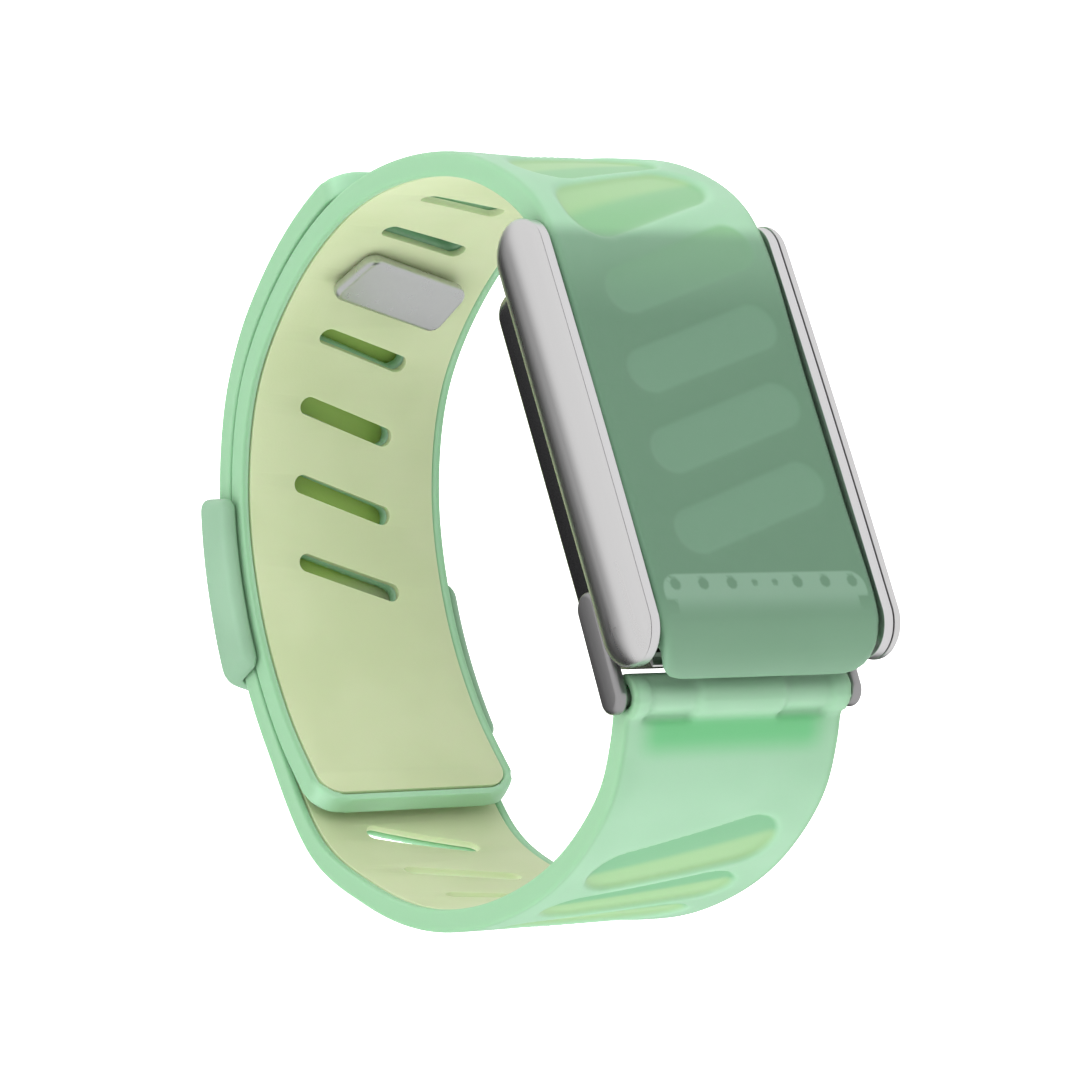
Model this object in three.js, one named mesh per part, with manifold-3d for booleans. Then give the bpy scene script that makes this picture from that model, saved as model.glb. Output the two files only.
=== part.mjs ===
// A wrist tracker on a silicone band, buckled, as it sits round a wrist.
//
// The origin is the middle of the opening that the wrist fills. +Z points out of the tracker's face,
// +X runs along the wrist, and the band runs round the X axis. The latch is at the -Y end of the tracker.
// The band is one closed ring: the upper strap leaves the far end of the tracker, goes round the wrist and
// ends in a tongue on the inside. The lower strap hangs on a bar at the latch end, goes round outside the
// tongue, through a keeper, and a stud on it buttons through one of the upper strap's slots.
// All sizes are in millimetres.

import * as THREE from 'three';
import { mergeVertices } from 'three/addons/utils/BufferGeometryUtils.js';
import Module from 'manifold-3d';

const wasm = await Module();
wasm.setup();

// ---------------------------------------------------------------- driving sizes

const GAP = 0.3; // left between pieces that touch
const CUT = 1; // how far a cutter runs past the face that it opens

// the opening for the wrist
const WRIST_FAR = 36.2; // +Y side of the opening
const WRIST_NEAR = 31.8; // -Y side of the opening
const WRIST_LOW = 26.1; // underside of the opening, below the origin

// the tracker
const POD_LENGTH = 37.2;
const POD_INSET = 0.1; // how far its sides lie inside the edges of the strap that covers it
const POD_HEIGHT = 9.2;
const POD_TOP = 35; // height of its face over the origin
const POD_CENTRE_Y = -1.6;
const POD_CORNER = 3.2; // corner radius seen from above
const POD_EDGE = 1.2; // rounding of its top and bottom edges
const POD_WALL = 1;
const POD_SPLIT = 0.5; // share of the height where the two shells part
const GASKET_THICK = 0.5;
const BUMP_HEIGHT = 0.8; // how far the sensor window stands out towards the skin
const BUMP_LENGTH = 14;
const BUMP_WIDTH = 12;

// the metal frame that grips the tracker
const RAIL_OVERHANG = 2.6; // past each end of the tracker
const RAIL_SHIFT = 0.5; // how far the rails' middle lies from the tracker's, towards the latch end
const RAIL_HEIGHT = 6.6; // at the ends of the straight stretch
const RAIL_CROWN = 0.15; // how much higher the rail is at mid length
const RAIL_WIDTH = 1.6;
const RAIL_GRIP = 3.6; // from the tracker's face down to the underside of the rails
const TRIM_WIDTH = 0.7;
const TRIM_SHRINK = 0.1; // how far the trim's outline lies inside the rail's
const BRIDGE_THICK = 1.2;
const BRIDGE_HEIGHT = 2;
const ARM_WIDTH = 1.2;
const ARM_END_RADIUS = 1.5;
const ARM_REACH = 9.6; // from the bar to the far end of the arm
const BAR_RADIUS = 0.75;
const BAR_DROP = 2.1; // from the underside of the rails down to the bar's axis

// the band
const STRAP_WIDTH = 22.6;
const UPPER_THICK = 2.3;
const LOWER_THICK = 2.1;
const COVER_THICK = 2.5;
const STRAP_ROUND = 0.5; // rounding of the long edges
const TIP_CORNER = 3.2; // corner radius of a strap's free end
const LINER_THICK = 0.7;
const LINER_RIM = 0.9; // width of outer layer that shows beside the liner
const SLANT = THREE.MathUtils.degToRad(19.5); // slots, ribs and keeper all lie at this angle
const PITCH = 7.8; // between neighbouring slots or panels
const SLOT_LENGTH = 11.3;
const SLOT_WIDTH = 1.9;
const PANEL_LENGTH = 18; // shallow rounded panels on the outside of the band
const PANEL_WIDTH = 6.8;
const COVER_PANEL_WIDTH = 4.8;
const PANEL_DEPTH = 0.5;
const COVER_PANEL_DEPTH = 0.2;
const KNUCKLE_WIDTH = 8.8; // between the recesses on both sides of it
const RECESS_WIDTH = 5.2;
const RECESS_CORE = 1.5; // radius left round the bore in a recess
const RECESS_DEPTH_AT = 0.4; // a recess starts this far outwards of the bar's axis
const HOOK_CORNER = 3.6;
const KNUCKLE_WALL = 0.95; // silicone round the bore
const STEP = 3; // spacing of sections along a strap
const FINE_STEP = 1; // and round the tight bend of the hook

// distances along the upper strap, from the tip of the tongue
const STUD_AT = 56.5;
const SLOTS_BELOW = 4; // slots between the stud and the tongue
const SLOTS_ABOVE = 2; // slots past the stud
const FIRST_UPPER_PANEL = 77.2;
const UPPER_PANELS = 3; // on the band, before the bend at the hinge
const HINGE_AT = 99; // where the band bends when the cover is lifted
const KEEPER_AT = 21;
const KEEPER_LENGTH = 16.4;
const KEEPER_THICK = 1.6;
// distances along the lower strap, from the bar
const FIRST_PANEL_AT = 14.8;
const LOWER_PANELS = 7;
const FIRST_LOWER_SLOT = 44.5;
const LOWER_SLOTS = 3;
const TAIL_FLAP = 9.5; // free end of the strap past the stud
const TAIL_HINGE_CLEAR = 2; // from the stud's slot to the bend of the free end

// the latch plate inside the cover's hooked end
const PLATE_WIDTH = 21;
const PLATE_THICK = 0.6;
const PLATE_LENGTH = 6.7;
const PLATE_HOLES = [1.05, 3.4, 6.3, 9.15]; // distance of each pair of holes from the middle
const PLATE_HOLE_RADIUS = 0.5;
const PLATE_PIN_RADIUS = 0.3; // the innermost pair is smaller
const PLATE_HOLE_INSET = 0.9;
const PLATE_NOTCH = 1.1;

// the stud
const STUD_LENGTH = 14.2;
const STUD_WIDTH = 6;
const STUD_CORNER = 1.3;
const STUD_SHIFT = 1; // of the head, along the strap from its post
const STUD_THICK = 1.44;
const STUD_POST_LENGTH = 8;
const STUD_LIFT = 0.46; // the flat head over the curved band

// ---------------------------------------------------------------- materials

const metal = (color, roughness) => new THREE.MeshStandardMaterial({ color, roughness, metalness: 0.9 });
const plastic = (color, roughness) => new THREE.MeshStandardMaterial({ color, roughness, metalness: 0 });

const MINT = plastic(0xa5d2b1, 0.55);
const COVER_GREEN = plastic(0x7b9e85, 0.5);
const LIME = plastic(0xc3cfa8, 0.6);
const SATIN_STEEL = metal(0xc6c6c6, 0.35);
const DARK_STEEL = metal(0x686867, 0.35);
const BLACK_SHELL = plastic(0x151515, 0.3);
const GLASS = plastic(0x0a0c0c, 0.1);
const SEAL = plastic(0x303030, 0.8);
const FOIL = metal(0xb8b8b0, 0.45);
const BOARD = plastic(0x1f4a2c, 0.6);
const CHIP = plastic(0x202022, 0.5);
const GOLD = metal(0xc9a55a, 0.3);
const LAMP = plastic(0x9fe08a, 0.3);

// ---------------------------------------------------------------- helpers

const repeat = (count, first, pitch) => Array.from({ length: count }, (_, i) => first + i * pitch);

function toSolid(geometry) {
  geometry.deleteAttribute('normal');
  geometry.deleteAttribute('uv');
  const merged = mergeVertices(geometry, 1e-4);
  const vertProperties = new Float32Array(merged.attributes.position.array);
  const triVerts = new Uint32Array(merged.index.array);
  return new wasm.Manifold(new wasm.Mesh({ numProp: 3, vertProperties, triVerts }));
}

function toGeometry(solid) {
  const mesh = solid.getMesh();
  const geometry = new THREE.BufferGeometry();
  geometry.setAttribute('position', new THREE.BufferAttribute(new Float32Array(mesh.vertProperties), 3));
  geometry.setIndex(new THREE.BufferAttribute(new Uint32Array(mesh.triVerts), 1));
  geometry.computeVertexNormals();
  return geometry;
}

function cutAll(solid, cutters) {
  return cutters.reduce((rest, cutter) => rest.subtract(cutter), solid);
}

function extrude(shape, depth, round = 0, curveSegments = 3) {
  const bevel = { bevelEnabled: round > 0, bevelThickness: round, bevelSize: round, bevelOffset: -round };
  const geometry = new THREE.ExtrudeGeometry(shape, {
    depth: depth - 2 * round,
    bevelSegments: 1,
    curveSegments,
    steps: 1,
    ...bevel,
  });
  return geometry.translate(0, 0, round);
}

// a side outline, drawn as (y, z), given its thickness along X from x
function acrossX(shape, x, width, round = 0, curveSegments = 6) {
  const turn = new THREE.Matrix4().makeBasis(
    new THREE.Vector3(0, 1, 0),
    new THREE.Vector3(0, 0, 1),
    new THREE.Vector3(1, 0, 0),
  );
  return toSolid(extrude(shape, width, round, curveSegments).applyMatrix4(turn).translate(x, 0, 0));
}

// an outline seen from above, drawn as (x, y), given its height from z
function upwards(shape, z, height, round = 0) {
  return toSolid(extrude(shape, height, round).translate(0, 0, z));
}

function box(x, y, z, width, length, height) {
  return toSolid(new THREE.BoxGeometry(width, length, height).translate(x, y, z + height / 2));
}

function disc(x, y, z, radius, height, segments = 16) {
  const geometry = new THREE.CylinderGeometry(radius, radius, height, segments).rotateX(Math.PI / 2);
  return toSolid(geometry.translate(x, y, z + height / 2));
}

function rodAlongX(y, z, radius, width, segments = 16) {
  const geometry = new THREE.CylinderGeometry(radius, radius, width, segments).rotateZ(Math.PI / 2);
  return toSolid(geometry.translate(0, y, z));
}

function roundedRectangle(width, length, corner, x = 0, y = 0) {
  const shape = new THREE.Shape();
  const right = x + width / 2;
  const far = y + length / 2;
  const left = right - width;
  const near = far - length;
  shape.moveTo(left + corner, near);
  shape.lineTo(right - corner, near);
  shape.absarc(right - corner, near + corner, corner, -Math.PI / 2, 0, false);
  shape.lineTo(right, far - corner);
  shape.absarc(right - corner, far - corner, corner, 0, Math.PI / 2, false);
  shape.lineTo(left + corner, far);
  shape.absarc(left + corner, far - corner, corner, Math.PI / 2, Math.PI, false);
  shape.lineTo(left, near + corner);
  shape.absarc(left + corner, near + corner, corner, Math.PI, Math.PI * 1.5, false);
  return shape;
}

function pill(length, width) {
  return roundedRectangle(length, width, width / 2 - 0.01);
}

// A line in the YZ plane that one face of a strap follows. at() gives the point at a distance from its
// start, moved outwards, away from the wrist, by an offset. frame() gives the matrix that puts a cutter
// there: X along the wrist, Y along the strap, Z towards the wrist.
function faceLine(points) {
  const curve = new THREE.CatmullRomCurve3(points.map(([y, z]) => new THREE.Vector3(0, y, z)), false, 'centripetal');
  curve.arcLengthDivisions = 600;
  const length = curve.getLength();
  // past either end the line runs straight on
  const spot = (distance) => {
    const held = THREE.MathUtils.clamp(distance, 0, length);
    const along = curve.getTangentAt(held / length);
    const point = curve.getPointAt(held / length).addScaledVector(along, distance - held);
    return { point, along };
  };
  const at = (distance, offset = 0) => {
    const { point, along } = spot(distance);
    return [point.y + along.z * offset, point.z - along.y * offset];
  };
  const frame = (distance, slant = 0) => {
    const { point, along } = spot(distance);
    const inwards = new THREE.Vector3(0, -along.z, along.y);
    const place = new THREE.Matrix4().makeBasis(new THREE.Vector3(1, 0, 0), along, inwards);
    place.setPosition(point);
    return place.multiply(new THREE.Matrix4().makeRotationZ(-slant));
  };
  return { length, at, frame };
}

// the side outline of a strip on a line, between two distances and two offsets
function strip(line, from, to, inside, outside, step = STEP) {
  const count = Math.max(2, Math.ceil((to - from) / step));
  const rows = Array.from({ length: count + 1 }, (_, i) => from + ((to - from) * i) / count);
  const inner = rows.map((distance) => line.at(distance, inside));
  const outer = rows.map((distance) => line.at(distance, outside)).reverse();
  const points = [...inner, ...outer].map(([y, z]) => new THREE.Vector2(y, z));
  if (THREE.ShapeUtils.area(points) < 0) points.reverse();
  return new THREE.Shape(points);
}

function strapSolid(line, from, to, inside, outside, width, round = 0, step = STEP) {
  return acrossX(strip(line, from, to, inside, outside, step), -width / 2, width, round);
}

// a cutter of a flat outline, standing on a line, from one offset to another
function cutterOn(line, distance, shape, inside, outside, slant = SLANT, x = 0) {
  const geometry = extrude(shape, outside - inside).translate(0, 0, -outside);
  return toSolid(geometry.applyMatrix4(line.frame(distance, slant)).translate(x, 0, 0));
}

// cutters that round off the two corners of a strap's free end; direction is 1 where the strap ends going
// forwards along its line, and -1 where it starts
function cornerCutters(line, distance, direction, thickness, radius = TIP_CORNER, width = STRAP_WIDTH) {
  return [-1, 1].map((side) => {
    const shape = new THREE.Shape();
    const x = side * (width / 2 - radius);
    const past = radius + CUT;
    const clockwise = side * direction < 0;
    shape.moveTo(x + side * radius, 0);
    shape.absarc(x, 0, radius, side > 0 ? 0 : Math.PI, (direction * Math.PI) / 2, clockwise);
    shape.lineTo(x, direction * past);
    shape.lineTo(x + side * past, direction * past);
    shape.lineTo(x + side * past, 0);
    return cutterOn(line, distance - direction * radius, shape, -CUT, thickness + CUT, 0);
  });
}

const object = new THREE.Group();
const bodies = {};
for (const name of ['ring', 'cover', 'frame', 'pod', 'tail']) {
  bodies[name] = new THREE.Group();
  object.add(bodies[name]);
}

function put(body, name, solid, material) {
  const mesh = new THREE.Mesh(toGeometry(solid), material);
  mesh.name = name;
  bodies[body].add(mesh);
}

// ---------------------------------------------------------------- places that follow from the sizes

const POD_WIDTH = STRAP_WIDTH - 2 * POD_INSET;
const POD_NEAR = POD_CENTRE_Y - POD_LENGTH / 2; // latch end
const POD_FAR = POD_CENTRE_Y + POD_LENGTH / 2;
const RAIL_LENGTH = POD_LENGTH + 2 * RAIL_OVERHANG;
const RAIL_BOTTOM = POD_TOP - RAIL_GRIP;
const RAIL_CENTRE_Y = POD_CENTRE_Y - RAIL_SHIFT;
const BRIDGE_NEAR = POD_NEAR - GAP - BRIDGE_THICK; // outer face of the bridge at the latch end
const KNUCKLE_RADIUS = BAR_RADIUS + GAP + KNUCKLE_WALL;
const BAR_Y = BRIDGE_NEAR - KNUCKLE_RADIUS - 0.2;
const BAR_Z = RAIL_BOTTOM - BAR_DROP;

// ---------------------------------------------------------------- the lines that the straps follow

const COVER_UNDER = POD_TOP + GAP; // underside of the cover over the tracker's face
const HOOK_Y = BRIDGE_NEAR - 2 * GAP; // inside of the cover's hooked end
const HOOK_BEND = 2.4; // inside radius of the hook

// the inside of the upper strap, from the tongue's tip, round the wrist and over the tracker, to the hook
const bandLine = faceLine([
  [-0.29 * WRIST_FAR, -0.86 * WRIST_LOW],
  [0, -0.975 * WRIST_LOW],
  [0.3 * WRIST_FAR, -0.99 * WRIST_LOW],
  [0.61 * WRIST_FAR, -0.875 * WRIST_LOW],
  [0.845 * WRIST_FAR, -0.62 * WRIST_LOW],
  [0.98 * WRIST_FAR, -0.18 * WRIST_LOW],
  [WRIST_FAR, 0.28 * WRIST_LOW],
  [0.915 * WRIST_FAR, 0.71 * WRIST_LOW],
  [(WRIST_FAR + POD_FAR) / 2 + 1, COVER_UNDER - 7.4],
  [POD_FAR + 4, COVER_UNDER - 1.6],
  [POD_FAR - 0.5, COVER_UNDER],
  [POD_CENTRE_Y + 4, COVER_UNDER],
  [POD_CENTRE_Y - 8, COVER_UNDER],
  [HOOK_Y + HOOK_BEND, COVER_UNDER],
  [HOOK_Y + HOOK_BEND * 0.29, COVER_UNDER - HOOK_BEND * 0.29],
  [HOOK_Y, COVER_UNDER - HOOK_BEND],
]);

// the inside of the lower strap, from under the bar, down the near side, then outside the upper strap
const LAP = UPPER_THICK + GAP;
const TONGUE_CLEAR = 0.6; // the lower strap stands this much further off where it meets the tongue
const lowerLine = faceLine([
  [BAR_Y, BAR_Z - KNUCKLE_RADIUS + 0.2],
  [BAR_Y - 2.6, BAR_Z - 3.9],
  [BAR_Y - 5.3, BAR_Z - 7.1],
  [-0.985 * WRIST_NEAR, 0.61 * WRIST_LOW],
  [-WRIST_NEAR, 0.34 * WRIST_LOW],
  [-0.95 * WRIST_NEAR, -0.04 * WRIST_LOW],
  [-0.83 * WRIST_NEAR, -0.4 * WRIST_LOW],
  [-0.65 * WRIST_NEAR, -0.7 * WRIST_LOW],
  bandLine.at(-2, LAP + TONGUE_CLEAR),
  ...repeat(14, 10, 5.4).map((distance) => bandLine.at(distance, LAP)),
]);

// the distance along the lower strap that lies just outside a distance along the upper strap
function beside(distance) {
  const [y, z] = bandLine.at(distance, LAP);
  const rows = Array.from({ length: 1200 }, (_, i) => (lowerLine.length * i) / 1200);
  const miss = (row) => Math.hypot(lowerLine.at(row)[0] - y, lowerLine.at(row)[1] - z);
  return rows.reduce((best, row) => (miss(row) < miss(best) ? row : best));
}

const STUD_BESIDE = beside(STUD_AT);
const FLAP_AT = STUD_BESIDE + SLOT_WIDTH + TAIL_HINGE_CLEAR; // bend of the tail's free end
const TAIL_END = FLAP_AT + TAIL_FLAP;

const slot = pill(SLOT_LENGTH, SLOT_WIDTH);
const panel = pill(PANEL_LENGTH, PANEL_WIDTH);
const coverPanel = pill(PANEL_LENGTH, COVER_PANEL_WIDTH);
const LINER_POCKET = LINER_THICK + GAP;
const LINER_WIDTH = STRAP_WIDTH - 2 * LINER_RIM;

// an outer layer, with a pocket on its inside for the liner, between two distances
function outerLayer(line, from, to, thickness, slots, panels) {
  const blank = strapSolid(line, from, to, 0, thickness, STRAP_WIDTH, STRAP_ROUND);
  const pocket = strapSolid(line, from + LINER_RIM, to - LINER_RIM, -CUT, LINER_POCKET, LINER_WIDTH);
  return cutAll(blank, [
    pocket,
    ...slots.map((at) => cutterOn(line, at, slot, -CUT, thickness + CUT)),
    ...panels.map((at) => cutterOn(line, at, panel, thickness - PANEL_DEPTH, thickness + CUT)),
  ]);
}

function liner(line, from, to, slots) {
  const rim = LINER_RIM + GAP;
  const blank = strapSolid(line, from + rim, to - rim, 0, LINER_THICK, LINER_WIDTH - 2 * GAP);
  return cutAll(blank, slots.map((at) => cutterOn(line, at, slot, -CUT, LINER_THICK + CUT)));
}

// ---------------------------------------------------------------- upper strap, tongue and keeper

const upperSlots = repeat(SLOTS_BELOW + 1 + SLOTS_ABOVE, STUD_AT - SLOTS_BELOW * PITCH, PITCH);
const upperPanels = repeat(UPPER_PANELS, FIRST_UPPER_PANEL, PITCH);
const UPPER_END = HINGE_AT - GAP / 2;
const tongueCorners = cornerCutters(bandLine, 0, -1, UPPER_THICK);
const linerCorners = cornerCutters(bandLine, LINER_RIM + GAP, -1, UPPER_THICK, TIP_CORNER - LINER_RIM, LINER_WIDTH);

const upperOuter = outerLayer(bandLine, 0, UPPER_END, UPPER_THICK, upperSlots, upperPanels);
put('ring', 'upper_strap', cutAll(upperOuter, tongueCorners), MINT);
put('ring', 'upper_liner', cutAll(liner(bandLine, 0, UPPER_END, upperSlots), linerCorners), LIME);

// The keeper is a slanted loop that the lower strap runs through: a rounded block round both straps, less
// the straps and the room that they need.
function keeper() {
  const half = STRAP_WIDTH / 2 + GAP;
  const wall = KEEPER_THICK * 0.75;
  const reach = KEEPER_LENGTH / 2 + half * Math.tan(SLANT);
  const block = strapSolid(
    bandLine,
    KEEPER_AT - reach,
    KEEPER_AT + reach,
    0.6,
    LAP + LOWER_THICK + GAP + KEEPER_THICK,
    2 * (half + wall),
    0.5,
  );
  const room = strapSolid(bandLine, KEEPER_AT - reach - CUT, KEEPER_AT + reach + CUT, -CUT, LAP + LOWER_THICK + GAP, 2 * half);
  const shear = new THREE.Shape();
  const x = half + wall + CUT;
  const slope = Math.tan(SLANT);
  shape4(shear, [
    [-x, x * slope - KEEPER_LENGTH / 2],
    [x, -x * slope - KEEPER_LENGTH / 2],
    [x, -x * slope + KEEPER_LENGTH / 2],
    [-x, x * slope + KEEPER_LENGTH / 2],
  ]);
  const slice = cutterOn(bandLine, KEEPER_AT, shear, -CUT, LAP + LOWER_THICK + KEEPER_THICK + 2 * CUT + 2, 0);
  return block.subtract(room).intersect(slice);
}

function shape4(shape, corners) {
  corners.forEach(([x, y], i) => (i ? shape.lineTo(x, y) : shape.moveTo(x, y)));
  shape.closePath();
}

put('ring', 'strap_keeper', keeper(), MINT);

// ---------------------------------------------------------------- lower strap and its tail

const lowerPanels = repeat(LOWER_PANELS, FIRST_PANEL_AT, PITCH);
const lowerSlots = repeat(LOWER_SLOTS, FIRST_LOWER_SLOT, PITCH);
const tailSlots = [STUD_BESIDE];

function lowerStrap() {
  const strap = outerLayer(lowerLine, 0, FLAP_AT - GAP / 2, LOWER_THICK, [...lowerSlots, ...tailSlots], lowerPanels);
  const knuckle = rodAlongX(BAR_Y, BAR_Z, KNUCKLE_RADIUS, STRAP_WIDTH);
  const bore = rodAlongX(BAR_Y, BAR_Z, BAR_RADIUS + GAP, STRAP_WIDTH + CUT);
  const ring = rodAlongX(BAR_Y, BAR_Z, KNUCKLE_RADIUS + CUT, RECESS_WIDTH).subtract(
    rodAlongX(BAR_Y, BAR_Z, RECESS_CORE, 2 * RECESS_WIDTH),
  );
  // only the outward half of a ring cuts, so that the strap is whole behind it
  const reach = 3 * KNUCKLE_RADIUS;
  const half = box(0, BAR_Y - RECESS_DEPTH_AT - reach / 2, BAR_Z - reach / 2, 2 * RECESS_WIDTH, reach, reach);
  const recess = ring.intersect(half);
  const recessX = (KNUCKLE_WIDTH + RECESS_WIDTH) / 2;
  return strap.add(knuckle).subtract(bore).subtract(recess.translate(-recessX, 0, 0)).subtract(recess.translate(recessX, 0, 0));
}

put('ring', 'lower_strap', lowerStrap(), MINT);
put('ring', 'lower_liner', liner(lowerLine, 0, FLAP_AT - GAP / 2, [...lowerSlots, ...tailSlots]), LIME);

const tailCorners = cornerCutters(lowerLine, TAIL_END, 1, LOWER_THICK);
const tailStrip = strapSolid(lowerLine, FLAP_AT + GAP / 2, TAIL_END, 0, LOWER_THICK, STRAP_WIDTH, STRAP_ROUND);
put('tail', 'tail_tip', cutAll(tailStrip, tailCorners), MINT);

// ---------------------------------------------------------------- stud

// the head shows inside the ring, at the same slant as the slots
function studHead() {
  const shape = roundedRectangle(STUD_LENGTH, STUD_WIDTH, STUD_CORNER, 0, STUD_SHIFT);
  const plate = extrude(shape, STUD_THICK, 0.5).translate(0, 0, STUD_LIFT);
  return toSolid(plate.applyMatrix4(bandLine.frame(STUD_AT, SLANT)));
}

const postShape = pill(STUD_POST_LENGTH, SLOT_WIDTH - 2 * GAP);
put('ring', 'stud_head', studHead(), SATIN_STEEL);
put('ring', 'stud_post', cutterOn(bandLine, STUD_AT, postShape, 0, LAP + LOWER_THICK - 2 * GAP), SATIN_STEEL);
const rivet = pill(STUD_LENGTH - 2.8, STUD_WIDTH - 1.6);
put('ring', 'stud_plate', cutterOn(lowerLine, STUD_BESIDE, rivet, LOWER_THICK + GAP, LOWER_THICK + GAP + 0.8), SATIN_STEEL);

// ---------------------------------------------------------------- cover and its latch plate

const COVER_START = HINGE_AT + GAP / 2;
const FIRST_COVER_PANEL = 9.6; // from the cover's start to the middle of its first panel
const COVER_END = bandLine.length;
const PLATE_AT = COVER_END - GAP - PLATE_LENGTH; // top edge of the plate

function coverStrap() {
  const blank = strapSolid(bandLine, COVER_START, COVER_END, 0, COVER_THICK, STRAP_WIDTH, STRAP_ROUND, FINE_STEP);
  const pocket = strapSolid(
    bandLine,
    PLATE_AT - GAP,
    COVER_END + CUT,
    -CUT,
    PLATE_THICK + 2 * GAP,
    PLATE_WIDTH + 2 * GAP,
    0,
    FINE_STEP,
  );
  // as many panels as fit before the latch plate
  const firstPanel = COVER_START + FIRST_COVER_PANEL;
  const count = Math.floor((PLATE_AT - PITCH / 2 - firstPanel) / PITCH) + 1;
  const panels = repeat(count, firstPanel, PITCH);
  const cover = cutAll(blank, [
    pocket,
    ...panels.map((at) => cutterOn(bandLine, at, coverPanel, COVER_THICK - COVER_PANEL_DEPTH, COVER_THICK + CUT, SLANT, 1)),
  ]);
  return cutAll(cover, cornerCutters(bandLine, COVER_END, 1, COVER_THICK, HOOK_CORNER));
}

function latchPlate() {
  const blank = strapSolid(bandLine, PLATE_AT, COVER_END - GAP, GAP, GAP + PLATE_THICK, PLATE_WIDTH, 0, FINE_STEP);
  const circle = (radius) => new THREE.Shape().absarc(0, 0, radius, 0, Math.PI * 2, false);
  const row = PLATE_AT + PLATE_HOLE_INSET;
  const holes = PLATE_HOLES.flatMap((x, i) =>
    [-x, x].map((place) => {
      const radius = i ? PLATE_HOLE_RADIUS : PLATE_PIN_RADIUS;
      return cutterOn(bandLine, row, circle(radius), 0, PLATE_THICK + 2 * GAP, 0, place);
    }),
  );
  const notch = roundedRectangle(2 * PLATE_NOTCH, PLATE_NOTCH, 0.2);
  const notches = [-1, 1].map((side) =>
    cutterOn(bandLine, row + 1.8, notch, 0, PLATE_THICK + 2 * GAP, 0, (side * PLATE_WIDTH) / 2),
  );
  const corners = cornerCutters(bandLine, PLATE_AT, -1, PLATE_THICK, 1.5, PLATE_WIDTH);
  const lowCorners = cornerCutters(bandLine, COVER_END - GAP, 1, 2 * PLATE_THICK, HOOK_CORNER - GAP, PLATE_WIDTH);
  return cutAll(blank, [...holes, ...notches, ...corners, ...lowCorners]);
}

put('cover', 'cover_strap', coverStrap(), COVER_GREEN);
put('cover', 'latch_plate', latchPlate(), SATIN_STEEL);

// ---------------------------------------------------------------- rails, trims, bridges, arms and bar

const POD_CLEAR = STRAP_WIDTH / 2 + GAP; // inner face of the trims
const RAIL_X = POD_CLEAR + TRIM_WIDTH + GAP;

// a bar seen from the side: round ends, flat underneath, and a crowned top
function railOutline(shrink) {
  const half = RAIL_LENGTH / 2 - shrink;
  const radius = RAIL_HEIGHT / 2 - shrink;
  const low = RAIL_BOTTOM + shrink;
  const high = low + 2 * radius;
  const shape = new THREE.Shape();
  const near = RAIL_CENTRE_Y - half;
  const far = RAIL_CENTRE_Y + half;
  shape.moveTo(near + radius, low);
  shape.lineTo(far - radius, low);
  shape.absarc(far - radius, low + radius, radius, -Math.PI / 2, Math.PI / 2, false);
  shape.quadraticCurveTo(RAIL_CENTRE_Y, high + 2 * RAIL_CROWN, near + radius, high);
  shape.absarc(near + radius, low + radius, radius, Math.PI / 2, Math.PI * 1.5, false);
  return shape;
}

// an arm seen from the side: it runs from the bar's round end to a rounded end under the rail
function armOutline() {
  const shape = new THREE.Shape();
  const far = BAR_Y + ARM_REACH;
  const low = BAR_Z - ARM_END_RADIUS + 0.5;
  const high = RAIL_BOTTOM - GAP;
  shape.moveTo(BAR_Y, BAR_Z - ARM_END_RADIUS);
  shape.lineTo(far - 1, low);
  shape.absarc(far - 1, low + 1, 1, -Math.PI / 2, 0, false);
  shape.lineTo(far, high - 0.5);
  shape.absarc(far - 0.5, high - 0.5, 0.5, 0, Math.PI / 2, false);
  shape.lineTo(BAR_Y, BAR_Z + ARM_END_RADIUS);
  shape.absarc(BAR_Y, BAR_Z, ARM_END_RADIUS, Math.PI / 2, Math.PI * 1.5, false);
  return shape;
}

for (const [side, name] of [[-1, 'left'], [1, 'right']]) {
  const from = (inner, width) => (side > 0 ? inner : -inner - width);
  put('frame', `side_rail_${name}`, acrossX(railOutline(0), from(RAIL_X, RAIL_WIDTH), RAIL_WIDTH, 0.6), SATIN_STEEL);
  put('frame', `rail_trim_${name}`, acrossX(railOutline(TRIM_SHRINK), from(POD_CLEAR, TRIM_WIDTH), TRIM_WIDTH), SATIN_STEEL);
  const arm = acrossX(armOutline(), from(POD_CLEAR, ARM_WIDTH), ARM_WIDTH, 0.3);
  const hole = rodAlongX(BAR_Y, BAR_Z, BAR_RADIUS + GAP, 4 * STRAP_WIDTH);
  put('frame', `hinge_arm_${name}`, arm.subtract(hole), DARK_STEEL);
}

const BRIDGE_WIDTH = 2 * (POD_CLEAR - GAP);
const bridge = (y) => box(0, y, RAIL_BOTTOM, BRIDGE_WIDTH, BRIDGE_THICK, BRIDGE_HEIGHT);
put('frame', 'bridge_latch_end', bridge(POD_NEAR - GAP - BRIDGE_THICK / 2), DARK_STEEL);
put('frame', 'bridge_bend_end', bridge(POD_FAR + GAP + BRIDGE_THICK / 2), DARK_STEEL);
put('frame', 'strap_bar', rodAlongX(BAR_Y, BAR_Z, BAR_RADIUS, 2 * (POD_CLEAR + ARM_WIDTH)), DARK_STEEL);

// ---------------------------------------------------------------- tracker shells

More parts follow.
